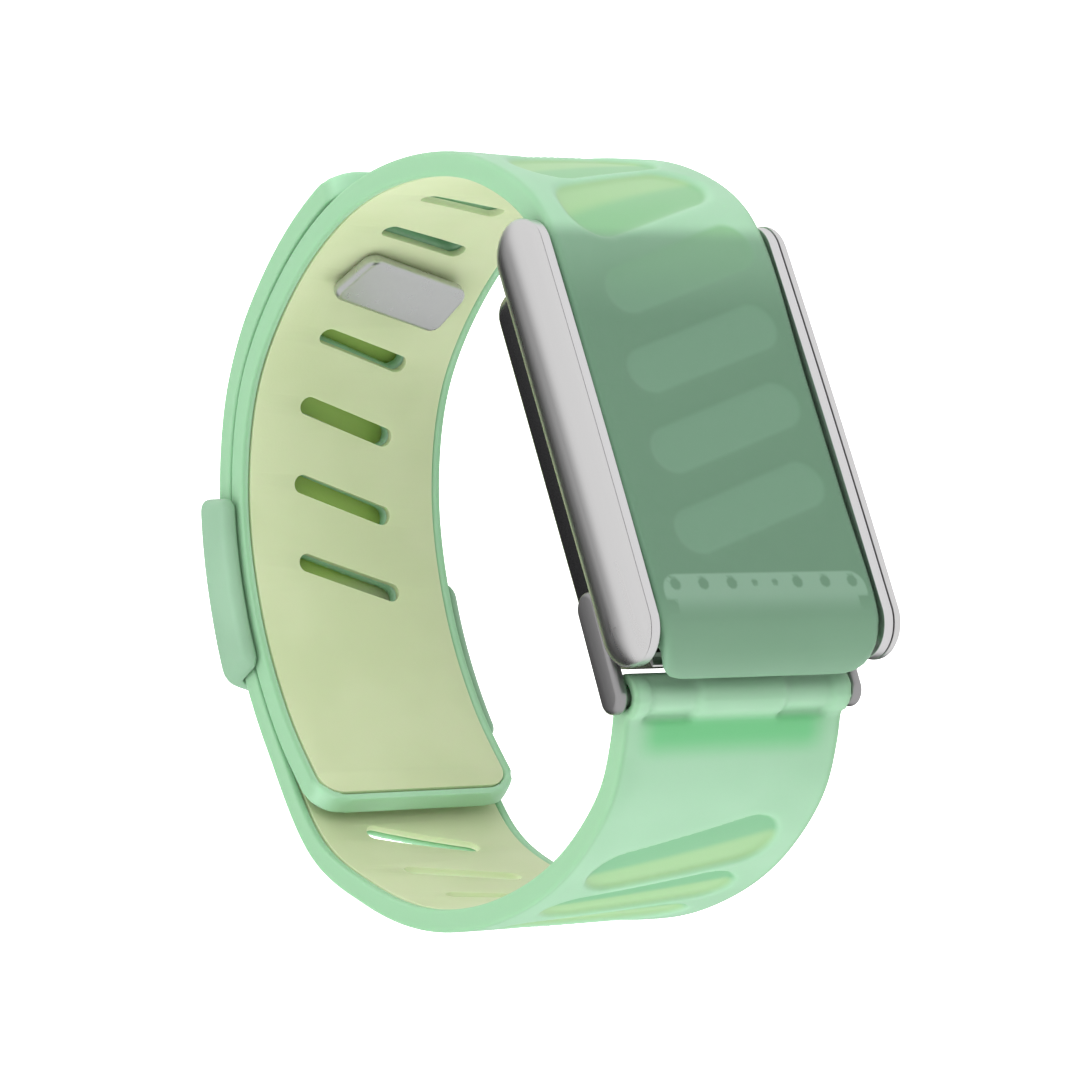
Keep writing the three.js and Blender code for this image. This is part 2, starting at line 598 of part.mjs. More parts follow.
const POD_BASE = POD_TOP - POD_HEIGHT;
const SPLIT_Z = POD_BASE + POD_HEIGHT * POD_SPLIT;
const podOutline = (inset) =>
  roundedRectangle(POD_WIDTH - 2 * inset, POD_LENGTH - 2 * inset, POD_CORNER - inset, 0, POD_CENTRE_Y);
const whole = upwards(podOutline(0), POD_BASE, POD_HEIGHT, POD_EDGE);
const inside = upwards(podOutline(POD_WALL), POD_BASE + POD_WALL, POD_HEIGHT - 2 * POD_WALL);
const SEAM = GASKET_THICK / 2 + GAP;
const block = (from, to) => box(0, POD_CENTRE_Y, from, 2 * POD_WIDTH, 2 * POD_LENGTH, to - from);
const hollow = whole.subtract(inside);

put('pod', 'pod_top_shell', hollow.intersect(block(SPLIT_Z + SEAM, POD_TOP + CUT)), BLACK_SHELL);

const bump = roundedRectangle(BUMP_WIDTH, BUMP_LENGTH, 3, 0, POD_CENTRE_Y);
const windowHole = upwards(bump, POD_BASE - CUT, 3 * CUT);
const CONTACT_X = 8.3;
const contactHole = (x) => disc(x, POD_CENTRE_Y, POD_BASE - CUT, 1.6 + GAP, 3 * CUT);
const baseShell = hollow.intersect(block(POD_BASE - CUT, SPLIT_Z - SEAM));
put('pod', 'pod_base_shell', cutAll(baseShell, [windowHole, contactHole(-CONTACT_X), contactHole(CONTACT_X)]), BLACK_SHELL);

const gasket = upwards(podOutline(0.2), SPLIT_Z - GASKET_THICK / 2, GASKET_THICK);
const gasketHole = upwards(podOutline(POD_WALL), SPLIT_Z - GASKET_THICK, 2 * GASKET_THICK);
put('pod', 'case_gasket', gasket.subtract(gasketHole), SEAL);

const windowShape = roundedRectangle(BUMP_WIDTH - 2 * GAP, BUMP_LENGTH - 2 * GAP, 3 - GAP, 0, POD_CENTRE_Y);
put('pod', 'sensor_window', upwards(windowShape, POD_BASE - BUMP_HEIGHT, BUMP_HEIGHT + POD_WALL, 0.4), GLASS);
for (const [x, name] of [[-CONTACT_X, 'left'], [CONTACT_X, 'right']]) {
  put('pod', `skin_contact_${name}`, disc(x, POD_CENTRE_Y, POD_BASE - 0.2, 1.6, POD_WALL), SATIN_STEEL);
}

// ---------------------------------------------------------------- what the tracker holds inside

const LAMP_HEIGHT = 0.7;
const MOTOR_RADIUS = 4;
const LAMP_Z = POD_BASE + POD_WALL + GAP;
const BOARD_Z = LAMP_Z + LAMP_HEIGHT + GAP;
const BOARD_THICK = 0.8;
const BATTERY_Z = BOARD_Z + BOARD_THICK + 1.6;
const BATTERY_HEIGHT = POD_TOP - POD_WALL - GAP - BATTERY_Z;
const INNER_WIDTH = POD_WIDTH - 2 * POD_WALL - 2 * GAP;
const INNER_LENGTH = POD_LENGTH - 2 * POD_WALL - 2 * GAP;

const board = roundedRectangle(INNER_WIDTH - 1, INNER_LENGTH - 1, 1.5, 0, POD_CENTRE_Y);
put('pod', 'main_board', upwards(board, BOARD_Z, BOARD_THICK), BOARD);
const motorY = POD_CENTRE_Y - INNER_LENGTH / 2 + MOTOR_RADIUS + 1.2;
const cellStart = motorY + MOTOR_RADIUS + 2 * GAP;
const cellEnd = POD_CENTRE_Y + INNER_LENGTH / 2 - 1.2;
const cell = roundedRectangle(INNER_WIDTH - 2, cellEnd - cellStart, 1.2, 0, (cellStart + cellEnd) / 2);
put('pod', 'battery_cell', upwards(cell, BATTERY_Z, BATTERY_HEIGHT, 0.4), FOIL);
put('pod', 'processor_chip', box(-4, POD_CENTRE_Y + 6, BOARD_Z + BOARD_THICK + GAP, 6, 6, 0.9), CHIP);
put('pod', 'memory_chip', box(4.5, POD_CENTRE_Y + 6, BOARD_Z + BOARD_THICK + GAP, 5, 4, 0.8), CHIP);
put('pod', 'vibration_motor', disc(-4.5, motorY, BOARD_Z + BOARD_THICK + GAP, MOTOR_RADIUS, 2.8), SATIN_STEEL);
for (const [i, x] of [-3, 0, 3].entries()) {
  put('pod', `sensor_lamp_${i + 1}`, box(x, POD_CENTRE_Y, LAMP_Z, 1.6, 1.6, LAMP_HEIGHT), LAMP);
}
for (const [i, y] of [-4, 4].entries()) {
  put('pod', `light_sensor_${i + 1}`, box(0, POD_CENTRE_Y + y, LAMP_Z, 3, 2.4, LAMP_HEIGHT), CHIP);
}
for (const [i, x] of [-2.4, 0, 2.4].entries()) {
  const pin = disc(x + 5, motorY, BOARD_Z + BOARD_THICK + GAP, 0.6, 2.4, 12);
  put('pod', `charge_pin_${i + 1}`, pin, GOLD);
}

export default object;
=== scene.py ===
# %% [markdown]
# # A wrist tracker on a two-layer silicone band
# The object is a small black tracker held in a satin metal frame, on a slotted band of soft silicone. The
# band is buckled into a ring. This lesson dresses a finished mechanical model: every piece here stands
# exactly where that model has its plain version, so nothing is fitted by eye. Lengths are in metres.

# %% Load the frame
import math

import bmesh
import bpy
import numpy as np
from mathutils import Matrix, Vector


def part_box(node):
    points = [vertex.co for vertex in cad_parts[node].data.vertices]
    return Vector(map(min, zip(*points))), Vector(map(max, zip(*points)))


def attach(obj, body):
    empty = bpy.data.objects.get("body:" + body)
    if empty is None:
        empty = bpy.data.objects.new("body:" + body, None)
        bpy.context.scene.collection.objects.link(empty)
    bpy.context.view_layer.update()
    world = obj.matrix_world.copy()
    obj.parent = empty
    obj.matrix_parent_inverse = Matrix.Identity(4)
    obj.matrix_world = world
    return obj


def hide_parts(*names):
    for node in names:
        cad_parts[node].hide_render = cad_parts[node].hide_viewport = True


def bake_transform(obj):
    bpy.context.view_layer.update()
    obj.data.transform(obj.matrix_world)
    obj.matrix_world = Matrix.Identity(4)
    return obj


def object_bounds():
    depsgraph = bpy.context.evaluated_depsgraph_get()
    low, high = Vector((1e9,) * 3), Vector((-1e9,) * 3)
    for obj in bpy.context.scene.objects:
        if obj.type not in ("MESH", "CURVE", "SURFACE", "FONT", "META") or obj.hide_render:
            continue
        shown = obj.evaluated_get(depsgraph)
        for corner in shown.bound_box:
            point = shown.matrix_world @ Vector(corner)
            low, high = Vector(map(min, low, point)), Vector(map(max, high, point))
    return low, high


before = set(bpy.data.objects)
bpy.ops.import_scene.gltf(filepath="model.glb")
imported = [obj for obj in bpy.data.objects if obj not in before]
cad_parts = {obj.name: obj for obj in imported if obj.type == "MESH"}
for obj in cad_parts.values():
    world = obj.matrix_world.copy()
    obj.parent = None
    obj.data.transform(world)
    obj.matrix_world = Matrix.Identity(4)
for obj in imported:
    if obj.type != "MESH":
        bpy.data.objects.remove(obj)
cad_box = [list(corner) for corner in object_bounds()]
MM = 0.001
print("cad box", cad_box)

# %% [markdown]
# ## Camera, light and floor
# The view looks down on the latch end of the tracker, with a long lens, so the near and far side of the
# ring are almost the same size. The picture is a product shot: white all round, with no shadow. A floor
# that glows white gives that, and because metal would only mirror white in it, the floor is left out of
# reflections and the sky is darker below the horizon. The metal then shows a soft dark lower edge. The
# lamps are left out of reflections too, because they would draw hard bright streaks along the rails.

# %% Camera
AIM = Vector((2.8, 3.7, 3.8)) * MM
EYE_DISTANCE = 404.5 * MM
AZIMUTH = math.radians(-54.8)
ELEVATION = math.radians(49.2)
ROLL = math.radians(46.3)
LENS = 145.1

towards_eye = Vector(
    (
        math.sin(AZIMUTH) * math.cos(ELEVATION),
        -math.cos(AZIMUTH) * math.cos(ELEVATION),
        math.sin(ELEVATION),
    )
)
camera = bpy.data.objects.new("camera", bpy.data.cameras.new("camera"))
camera.data.lens = LENS
camera.data.clip_start = 0.01
upright = towards_eye.to_track_quat("Z", "Y").to_matrix().to_4x4()
camera.matrix_world = Matrix.Translation(AIM + towards_eye * EYE_DISTANCE) @ upright @ Matrix.Rotation(ROLL, 4, "Z")
bpy.context.scene.collection.objects.link(camera)
bpy.context.scene.camera = camera
bpy.context.scene.view_settings.view_transform = "Standard"
print("eye", [round(c, 4) for c in camera.matrix_world.translation])


# %% Lights
def area_light(name, place, size, power):
    """A square soft light at a place, turned to the middle of the ring."""
    light = bpy.data.objects.new(name, bpy.data.lights.new(name, "AREA"))
    light.data.shape = "SQUARE"
    light.data.size = size
    light.data.energy = power
    light.matrix_world = Matrix.Translation(place) @ Vector(place).to_track_quat("Z", "Y").to_matrix().to_4x4()
    light.visible_glossy = False
    bpy.context.scene.collection.objects.link(light)


area_light("key", (-0.30, 0.20, 0.60), 0.60, 2.2)
area_light("fill", (-0.45, -0.50, 0.15), 0.80, 0.8)

# %% World and floor
SKY_ABOVE = (1.0, 1.0, 1.0, 1.0)
SKY_BELOW = (0.05, 0.05, 0.05, 1.0)
FLOOR_DROP = 60 * MM
FLOOR_SIZE = 6.0

world = bpy.data.worlds.new("studio")
bpy.context.scene.world = world
world.use_nodes = True
sky = world.node_tree.nodes
ramp = sky.new("ShaderNodeValToRGB")
ramp.color_ramp.interpolation = "EASE"
ramp.color_ramp.elements[0].position = 0.08
ramp.color_ramp.elements[0].color = SKY_BELOW
ramp.color_ramp.elements[1].position = 0.24
ramp.color_ramp.elements[1].color = SKY_ABOVE
direction = sky.new("ShaderNodeTexCoord")
split = sky.new("ShaderNodeSeparateXYZ")
height = sky.new("ShaderNodeMapRange")
height.inputs["From Min"].default_value = -1.0
for start, end in (
    (direction.outputs["Generated"], split.inputs["Vector"]),
    (split.outputs["Z"], height.inputs["Value"]),
    (height.outputs["Result"], ramp.inputs["Fac"]),
    (ramp.outputs["Color"], sky["Background"].inputs["Color"]),
):
    world.node_tree.links.new(start, end)
sky["Background"].inputs["Strength"].default_value = 0.8

bpy.ops.mesh.primitive_plane_add(size=FLOOR_SIZE, location=(0, 0, cad_box[0][2] - FLOOR_DROP))
floor = bpy.context.object
floor.name = "floor"
floor.visible_glossy = False
glow = bpy.data.materials.new("white_floor")
glow.use_nodes = True
glow_shader = glow.node_tree.nodes["Principled BSDF"]
glow_shader.inputs["Base Color"].default_value = (0.9, 0.9, 0.9, 1)
glow_shader.inputs["Emission Color"].default_value = (1, 1, 1, 1)
glow_shader.inputs["Emission Strength"].default_value = 1.0
floor.data.materials.append(glow)


# %% [markdown]
# ## The lines that the straps follow
# A strap is easiest to make lying flat, where slots and panels are straight cuts, and is then wrapped
# round the wrist. The inside of each strap follows a smooth line through a few chosen points in the YZ
# plane. A Curve modifier could do the wrapping, but it measures from the mesh's bounds, so the vertices
# are moved in code instead: a flat strap's X is the distance along the line, Y the place along the wrist,
# and Z how far out from the line.

# %% Smooth lines
POD_LOW, POD_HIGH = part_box("pod_top_shell")
BAR = sum(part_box("strap_bar"), Vector()) / 2
GAP = 0.3 * MM
WRIST_FAR = 36.2 * MM
WRIST_NEAR = 31.8 * MM
WRIST_LOW = 26.1 * MM
UPPER_THICK = 2.3 * MM
LOWER_THICK = 2.1 * MM
COVER_THICK = 2.5 * MM
STRAP_WIDTH = 22.6 * MM
COVER_UNDER = POD_HIGH.z + GAP
KNUCKLE_RADIUS = 2.0 * MM
HOOK_BEND = 2.4 * MM
HOOK_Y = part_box("bridge_latch_end")[0].y - 2 * GAP
POD_MIDDLE = (POD_LOW.y + POD_HIGH.y) / 2


def spline(points, step=0.25 * MM):
    """A centripetal Catmull-Rom curve through (y, z) points, as evenly spaced points."""
    points = [np.array(p, float) for p in points]
    points = [2 * points[0] - points[1], *points, 2 * points[-1] - points[-2]]
    fine = []
    for before, start, end, after in zip(points, points[1:], points[2:], points[3:]):
        d0, d1, d2 = (np.linalg.norm(b - a) ** 0.5 for a, b in ((before, start), (start, end), (end, after)))
        leave = d1 * ((start - before) / d0 - (end - before) / (d0 + d1) + (end - start) / d1)
        arrive = d1 * ((end - start) / d1 - (after - start) / (d1 + d2) + (after - end) / d2)
        t = np.linspace(0, 1, 60, endpoint=False)[:, None]
        fine.append(
            start
            + leave * t
            + (3 * (end - start) - 2 * leave - arrive) * t**2
            + (2 * (start - end) + leave + arrive) * t**3
        )
    fine = np.vstack([*fine, points[-2]])
    run = np.concatenate([[0], np.cumsum(np.linalg.norm(np.diff(fine, axis=0), axis=1))])
    even = np.linspace(0, run[-1], int(run[-1] / step) + 2)
    return np.column_stack([even, np.interp(even, run, fine[:, 0]), np.interp(even, run, fine[:, 1])])


def along(line, distance, offset=0.0):
    """(y, z) at a distance along a line, moved outwards by an offset. Past the ends the line runs on."""
    distance = np.asarray(distance, float)
    held = np.clip(distance, 0, line[-1, 0])
    slope_y = np.gradient(line[:, 1], line[:, 0])
    slope_z = np.gradient(line[:, 2], line[:, 0])
    tangent_y = np.interp(held, line[:, 0], slope_y)
    tangent_z = np.interp(held, line[:, 0], slope_z)
    past = distance - held
    y = np.interp(held, line[:, 0], line[:, 1]) + tangent_y * past + tangent_z * offset
    z = np.interp(held, line[:, 0], line[:, 2]) + tangent_z * past - tangent_y * offset
    return y, z


band_line = spline(
    [
        (-0.29 * WRIST_FAR, -0.86 * WRIST_LOW),
        (0, -0.975 * WRIST_LOW),
        (0.3 * WRIST_FAR, -0.99 * WRIST_LOW),
        (0.61 * WRIST_FAR, -0.875 * WRIST_LOW),
        (0.845 * WRIST_FAR, -0.62 * WRIST_LOW),
        (0.98 * WRIST_FAR, -0.18 * WRIST_LOW),
        (WRIST_FAR, 0.28 * WRIST_LOW),
        (0.915 * WRIST_FAR, 0.71 * WRIST_LOW),
        ((WRIST_FAR + POD_HIGH.y) / 2 + 1 * MM, COVER_UNDER - 7.4 * MM),
        (POD_HIGH.y + 4 * MM, COVER_UNDER - 1.6 * MM),
        (POD_HIGH.y - 0.5 * MM, COVER_UNDER),
        (POD_MIDDLE + 4 * MM, COVER_UNDER),
        (POD_MIDDLE - 8 * MM, COVER_UNDER),
        (HOOK_Y + HOOK_BEND, COVER_UNDER),
        (HOOK_Y + HOOK_BEND * 0.29, COVER_UNDER - HOOK_BEND * 0.29),
        (HOOK_Y, COVER_UNDER - HOOK_BEND),
    ]
)
LAP = UPPER_THICK + GAP
lower_line = spline(
    [
        (BAR.y, BAR.z - KNUCKLE_RADIUS + 0.2 * MM),
        (BAR.y - 2.6 * MM, BAR.z - 3.9 * MM),
        (BAR.y - 5.3 * MM, BAR.z - 7.1 * MM),
        (-0.985 * WRIST_NEAR, 0.61 * WRIST_LOW),
        (-WRIST_NEAR, 0.34 * WRIST_LOW),
        (-0.95 * WRIST_NEAR, -0.04 * WRIST_LOW),
        (-0.83 * WRIST_NEAR, -0.4 * WRIST_LOW),
        (-0.65 * WRIST_NEAR, -0.7 * WRIST_LOW),
        along(band_line, -2 * MM, LAP + 0.6 * MM),
        *(along(band_line, (10 + 5.4 * i) * MM, LAP) for i in range(14)),
    ]
)
print("lengths", round(band_line[-1, 0], 4), round(lower_line[-1, 0], 4))


# %% [markdown]
# ## Tools for modelling
# Each piece starts as a primitive that is shaped in edit mode. A few short helpers do what a hand does
# again and again: add a block, stretch a cylinder into a pill, cut one shape from another, melt sharp
# edges away, and wrap a flat strap round its line.


# %% Modelling helpers
def deselect():
    bpy.ops.object.select_all(action="DESELECT")


def use(piece):
    """Makes a piece the only selected one."""
    deselect()
    piece.select_set(True)
    bpy.context.view_layer.objects.active = piece
    return piece


def settle(piece, name=None):
    """Puts a piece's place into its mesh, so that its object sits at the origin."""
    piece.data.transform(piece.matrix_world)
    piece.matrix_world = Matrix.Identity(4)
    piece.name = name or piece.name
    return piece


def block(low, high, name="block"):
    """A box between two corners."""
    low, high = Vector(low), Vector(high)
    deselect()
    bpy.ops.mesh.primitive_cube_add(size=1, location=(low + high) / 2)
    bpy.context.object.scale = high - low
    bpy.context.view_layer.update()
    return settle(bpy.context.object, name)


def pill(length, width, low, high, spot=(0, 0), slant=0.0, sides=32, name="pill"):
    """A cylinder pulled out along its X into a slot shape, standing from low to high, turned by slant."""
    deselect()
    bpy.ops.mesh.primitive_cylinder_add(vertices=sides, radius=width / 2, depth=high - low)
    piece = bpy.context.object
    stretch = (length - width) / 2
    for vertex in piece.data.vertices:
        vertex.co.x += math.copysign(stretch, vertex.co.x + 1e-7)
    place = Matrix.Translation((spot[0], spot[1], (low + high) / 2)) @ Matrix.Rotation(slant, 4, "Z")
    piece.matrix_world = place
    bpy.context.view_layer.update()
    return settle(piece, name)


def apply_modifier(piece, kind, **settings):
    use(piece)
    modifier = piece.modifiers.new(kind.lower(), kind)
    for setting, value in settings.items():
        setattr(modifier, setting, value)
    bpy.ops.object.modifier_apply(modifier=modifier.name)
    return piece


def combine(piece, others, operation="DIFFERENCE"):
    """Cuts the other shapes from a piece, or joins them to it, and throws them away."""
    for other in others:
        apply_modifier(piece, "BOOLEAN", operation=operation, object=other, solver="EXACT")
        bpy.data.objects.remove(other)
    return piece


def bevel(piece, width, segments, angle=30):
    limit = math.radians(angle)
    return apply_modifier(piece, "BEVEL", width=width, segments=segments, limit_method="ANGLE", angle_limit=limit)


def smooth(piece, angle=35):
    use(piece)
    bpy.ops.object.shade_smooth_by_angle(angle=math.radians(angle))
    return piece


def is_upright(edge):
    a, b = (v.co for v in edge.verts)
    return abs(a.z - b.z) > 0.9 * (a - b).length


def select_parts(piece, kind, test):
    """Goes into edit mode with only those edges or faces selected that pass a test."""
    use(piece)
    bpy.ops.object.mode_set(mode="EDIT")
    bpy.ops.mesh.select_mode(type=kind)
    bpy.ops.mesh.select_all(action="DESELECT")
    mesh = bmesh.from_edit_mesh(piece.data)
    for part in mesh.edges if kind == "EDGE" else mesh.faces:
        if test(part):
            part.select_set(True)
    bmesh.update_edit_mesh(piece.data)


def bevel_edges(piece, test, radius, segments):
    select_parts(piece, "EDGE", test)
    bpy.ops.mesh.bevel(offset=radius, segments=segments, affect="EDGES")
    bpy.ops.object.mode_set(mode="OBJECT")
    return piece


def melt(piece, voxel, passes):
    """Remeshes a piece into small even faces and rounds its edges, as moulded silicone is."""
    apply_modifier(piece, "REMESH", mode="VOXEL", voxel_size=voxel)
    apply_modifier(piece, "SMOOTH", factor=0.5, iterations=passes)
    return piece


def positions(piece):
    co = np.empty(len(piece.data.vertices) * 3)
    piece.data.vertices.foreach_get("co", co)
    return co.reshape(-1, 3)


def move_to(piece, co):
    piece.data.vertices.foreach_set("co", np.asarray(co, float).ravel())
    piece.data.update()


def mark(piece, name, values):
    """Stores a number on each vertex, for a material to read."""
    attribute = piece.data.attributes.new(name, "FLOAT", "POINT")
    attribute.data.foreach_set("value", np.asarray(values, np.float32))


def wrap(piece, line):
    """Moves a flat strap onto its line: X is the distance along, Y the place along the wrist, Z outwards."""
    co = positions(piece)
    y, z = along(line, co[:, 0], co[:, 2])
    move_to(piece, np.column_stack([co[:, 1], y, z]))
    return piece


# %% [markdown]
# ## Finishes
# Silicone scatters light inside itself, so its shader has subsurface scattering of a few millimetres. A
# very fine noise in the bump gives the powdery skin of soft-touch silicone. Real silicone also lets the
# parts behind it show through a little. Rendering that is slow and noisy, so the tones that it gives are
# stored on the straps' vertices and mixed in by the shader: darker over the black tracker, lighter over
# the latch plate, yellower in thin floors and deeper along the edges. Shade is painted the same way: a
# painted shadow on one side of each panel with a painted lit floor on the other, and painted shade in the
# hollow under the knuckle and on the liner under the other strap. The keeper's silicone is painted darker
# as shade. They belong to places on the strap, so they don't change when a joint moves. Metal gets a fine
# grain that runs along the rails.

# %% Material helpers
def new_material(name):
    material = bpy.data.materials.new(name)
    material.use_nodes = True
    nodes = material.node_tree.nodes
    return material, nodes, material.node_tree.links, nodes["Principled BSDF"]


def linear(red, green, blue):
    """A colour given as on screen, 0 to 255, in the shader's own linear scale."""
    shares = (c / 255 for c in (red, green, blue))
    return (*(c / 12.92 if c <= 0.04 else ((c + 0.055) / 1.055) ** 2.4 for c in shares), 1.0)


def object_noise(nodes, links, scale, detail=3.0, stretch=(1, 1, 1)):
    """Noise fixed to the piece, with about so many blotches to the metre."""
    place = nodes.new("ShaderNodeTexCoord")
    squeeze = nodes.new("ShaderNodeMapping")
    squeeze.inputs["Scale"].default_value = stretch
    noise = nodes.new("ShaderNodeTexNoise")
    noise.inputs["Scale"].default_value = scale
    noise.inputs["Detail"].default_value = detail
    links.new(place.outputs["Object"], squeeze.inputs["Vector"])
    links.new(squeeze.outputs["Vector"], noise.inputs["Vector"])
    return noise.outputs["Fac"]


def bump(nodes, links, shader, value, distance, strength=1.0):
    node = nodes.new("ShaderNodeBump")
    node.inputs["Distance"].default_value = distance
    node.inputs["Strength"].default_value = strength
    links.new(value, node.inputs["Height"])
    links.new(node.outputs["Normal"], shader.inputs["Normal"])


def span(nodes, links, value, low, high, to_low=0.0, to_high=1.0):
    """A number that runs from to_low to to_high while value runs from low to high."""
    node = nodes.new("ShaderNodeMapRange")
    node.interpolation_type = "SMOOTHSTEP"
    node.inputs["From Min"].default_value = low
    node.inputs["From Max"].default_value = high
    node.inputs["To Min"].default_value = to_low
    node.inputs["To Max"].default_value = to_high
    links.new(value, node.inputs["Value"])
    return node.outputs["Result"]


def mix_colours(nodes, links, factor, first, second):
    """Mixes two colours, each a fixed colour or a node's output."""
    node = nodes.new("ShaderNodeMix")
    node.data_type = "RGBA"
    links.new(factor, node.inputs["Factor"])
    for socket, colour in ((node.inputs[6], first), (node.inputs[7], second)):
        if isinstance(colour, tuple):
            socket.default_value = colour
        else:
            links.new(colour, socket)
    return node.outputs[2]


def times(nodes, links, first, second):
    node = nodes.new("ShaderNodeMath")
    node.operation = "MULTIPLY"
    links.new(first, node.inputs[0])
    links.new(second, node.inputs[1])
    return node.outputs[0]


def attribute_value(nodes, name):
    node = nodes.new("ShaderNodeAttribute")
    node.attribute_name = name
    return node.outputs["Fac"]


# %% Silicone finishes
GRAIN = 2600.0
MINT = linear(164, 207, 174)
MINT_SHADE = linear(158, 202, 168)
# The keeper's silicone is the band's mint painted darker, as shade.
KEEPER_SHADED_MINT = linear(140, 176, 148)
KEEPER_SHADE = linear(134, 170, 142)
LIME = linear(203, 214, 174)
LIME_SHADE = linear(198, 210, 168)
# Painted shade: the liner turns deeper and greener where the other strap lies over it.
LIME_LAP_SHADE = linear(190, 222, 120)
# Panel floors: a painted shadow on the side next to the tracker, and a painted lit floor on the other side, yellower
# where it is thin.
PANEL_SHADE = linear(128, 186, 142)
PANEL_THIN_LIT = linear(160, 200, 148)
RIM_GREEN = linear(140, 184, 147)
# Painted shade in the hollow under the knuckle, greener also where the silicone is thick.
CREASE_SHADE_GREEN = linear(116, 196, 136)
COVER_DARK = linear(99, 136, 110)
COVER_PANEL = linear(108, 146, 120)
PLATE_TINT = linear(128, 162, 139)


def silicone(name, colour, second, scatter=1.2 * MM, roughness=0.42):
    """Soft satin silicone whose colour drifts a little between two tones."""
    material, nodes, links, shader = new_material(name)
    drift = object_noise(nodes, links, 90.0, 2.0)
    tone = mix_colours(nodes, links, span(nodes, links, drift, 0.35, 0.65), colour, second)
    links.new(tone, shader.inputs["Base Color"])
    shader.inputs["Roughness"].default_value = roughness
    shader.inputs["Subsurface Weight"].default_value = 0.5
    shader.inputs["Subsurface Radius"].default_value = (0.7, 1.0, 0.75)
    shader.inputs["Subsurface Scale"].default_value = scatter
    bump(nodes, links, shader, object_noise(nodes, links, GRAIN, 2.0), 0.03 * MM, 0.35)
    return material, nodes, links, shader, tone


def band_silicone():
    """Mint silicone; yellower in thin panel floors, darker on black, painted shade in panels and under the knuckle.
    """
    material, nodes, links, shader, tone = silicone("mint_silicone", MINT, MINT_SHADE)
    in_panel = span(nodes, links, attribute_value(nodes, "panel_edge"), -0.45, 0.1, 1.0, 0.0)
    floor_tone = mix_colours(nodes, links, attribute_value(nodes, "panel_lit"), PANEL_SHADE, PANEL_THIN_LIT)
    plain = mix_colours(nodes, links, in_panel, tone, floor_tone)
    plain = mix_colours(nodes, links, attribute_value(nodes, "crease_shade"), plain, CREASE_SHADE_GREEN)
    plain = mix_colours(nodes, links, attribute_value(nodes, "rim"), plain, RIM_GREEN)
    on_plate = span(nodes, links, attribute_value(nodes, "plate_edge"), -0.15, 0.1, 1.0, 0.0)
    on_plate = times(nodes, links, on_plate, attribute_value(nodes, "plate_fade"))
    dark = mix_colours(nodes, links, in_panel, COVER_DARK, COVER_PANEL)
    dark = mix_colours(nodes, links, on_plate, dark, PLATE_TINT)
    over_black = attribute_value(nodes, "over_black")
    links.new(mix_colours(nodes, links, over_black, plain, dark), shader.inputs["Base Color"])
    return material


def liner_silicone():
    """Lime silicone, painted deeper and greener as shade where the other strap lies over it."""
    material, nodes, links, shader, tone = silicone("lime_silicone", LIME, LIME_SHADE, 0.8 * MM, 0.55)
    tone = mix_colours(nodes, links, attribute_value(nodes, "lap_shade"), tone, LIME_LAP_SHADE)
    links.new(tone, shader.inputs["Base Color"])
    return material


mint = band_silicone()
shaded_keeper_mint = silicone("keeper_shaded_silicone", KEEPER_SHADED_MINT, KEEPER_SHADE)[0]
lime = liner_silicone()


# %% Metal finishes
def satin_metal(name, colour, roughness):
    """Metal with a fine blasted grain and faint long streaks."""
    material, nodes, links, shader = new_material(name)
    streaks = object_noise(nodes, links, 900.0, 2.0, (1, 0.02, 1))
    tone = mix_colours(nodes, links, streaks, linear(*[c * 0.96 for c in colour]), linear(*colour))
    links.new(tone, shader.inputs["Base Color"])
    shader.inputs["Metallic"].default_value = 1.0
    links.new(span(nodes, links, streaks, 0.3, 0.7, roughness - 0.03, roughness + 0.03), shader.inputs["Roughness"])
    bump(nodes, links, shader, object_noise(nodes, links, 6000.0, 2.0), 0.01 * MM, 0.3)
    return material


steel = satin_metal("satin_steel", (236, 235, 235), 0.3)
bright_steel = satin_metal("bright_steel", (240, 239, 240), 0.34)
stud_steel = satin_metal("stud_steel", (206, 208, 207), 0.3)
dark_steel = satin_metal("dark_steel", (176, 175, 176), 0.36)
gold = satin_metal("gold_plate", (222, 184, 110), 0.25)
foil = satin_metal("battery_foil", (190, 190, 184), 0.4)


# %% Plastic finishes
def plastic(name, colour, roughness, grain=0.02, coat=0.0):
    """Moulded plastic: an even colour with a trace of mottling and a fine skin."""
    material, nodes, links, shader = new_material(name)
    mottle = object_noise(nodes, links, 400.0, 3.0)
    tone = mix_colours(nodes, links, mottle, linear(*[c * 0.9 for c in colour]), linear(*colour))
    links.new(tone, shader.inputs["Base Color"])
    shader.inputs["Roughness"].default_value = roughness
    shader.inputs["Coat Weight"].default_value = coat
    bump(nodes, links, shader, object_noise(nodes, links, 5000.0, 2.0), grain * MM, 0.3)
    return material


black_shell = plastic("black_shell", (26, 26, 27), 0.22, 0.005, 0.5)
lens_black = plastic("lens_black", (14, 16, 17), 0.08, 0.001, 1.0)
seal_rubber = plastic("seal_rubber", (45, 45, 46), 0.7)
board_green = plastic("board_green", (34, 84, 52), 0.5)
chip_black = plastic("chip_black", (34, 34, 37), 0.45)
lamp_clear = plastic("lamp_clear", (168, 232, 150), 0.15)


# %% [markdown]
# ## The upper band
# The upper strap and the cover over the tracker are one moulding, so they are one mesh here, and it bends
# where the cover lifts. It starts as a flat block. Pill shapes cut the slots and the shallow panels, and
# a pocket on the inside holds the lime liner. Then the block is remeshed and smoothed a little, which
# rounds all its edges like those of a silicone moulding, and wrapped round the wrist.

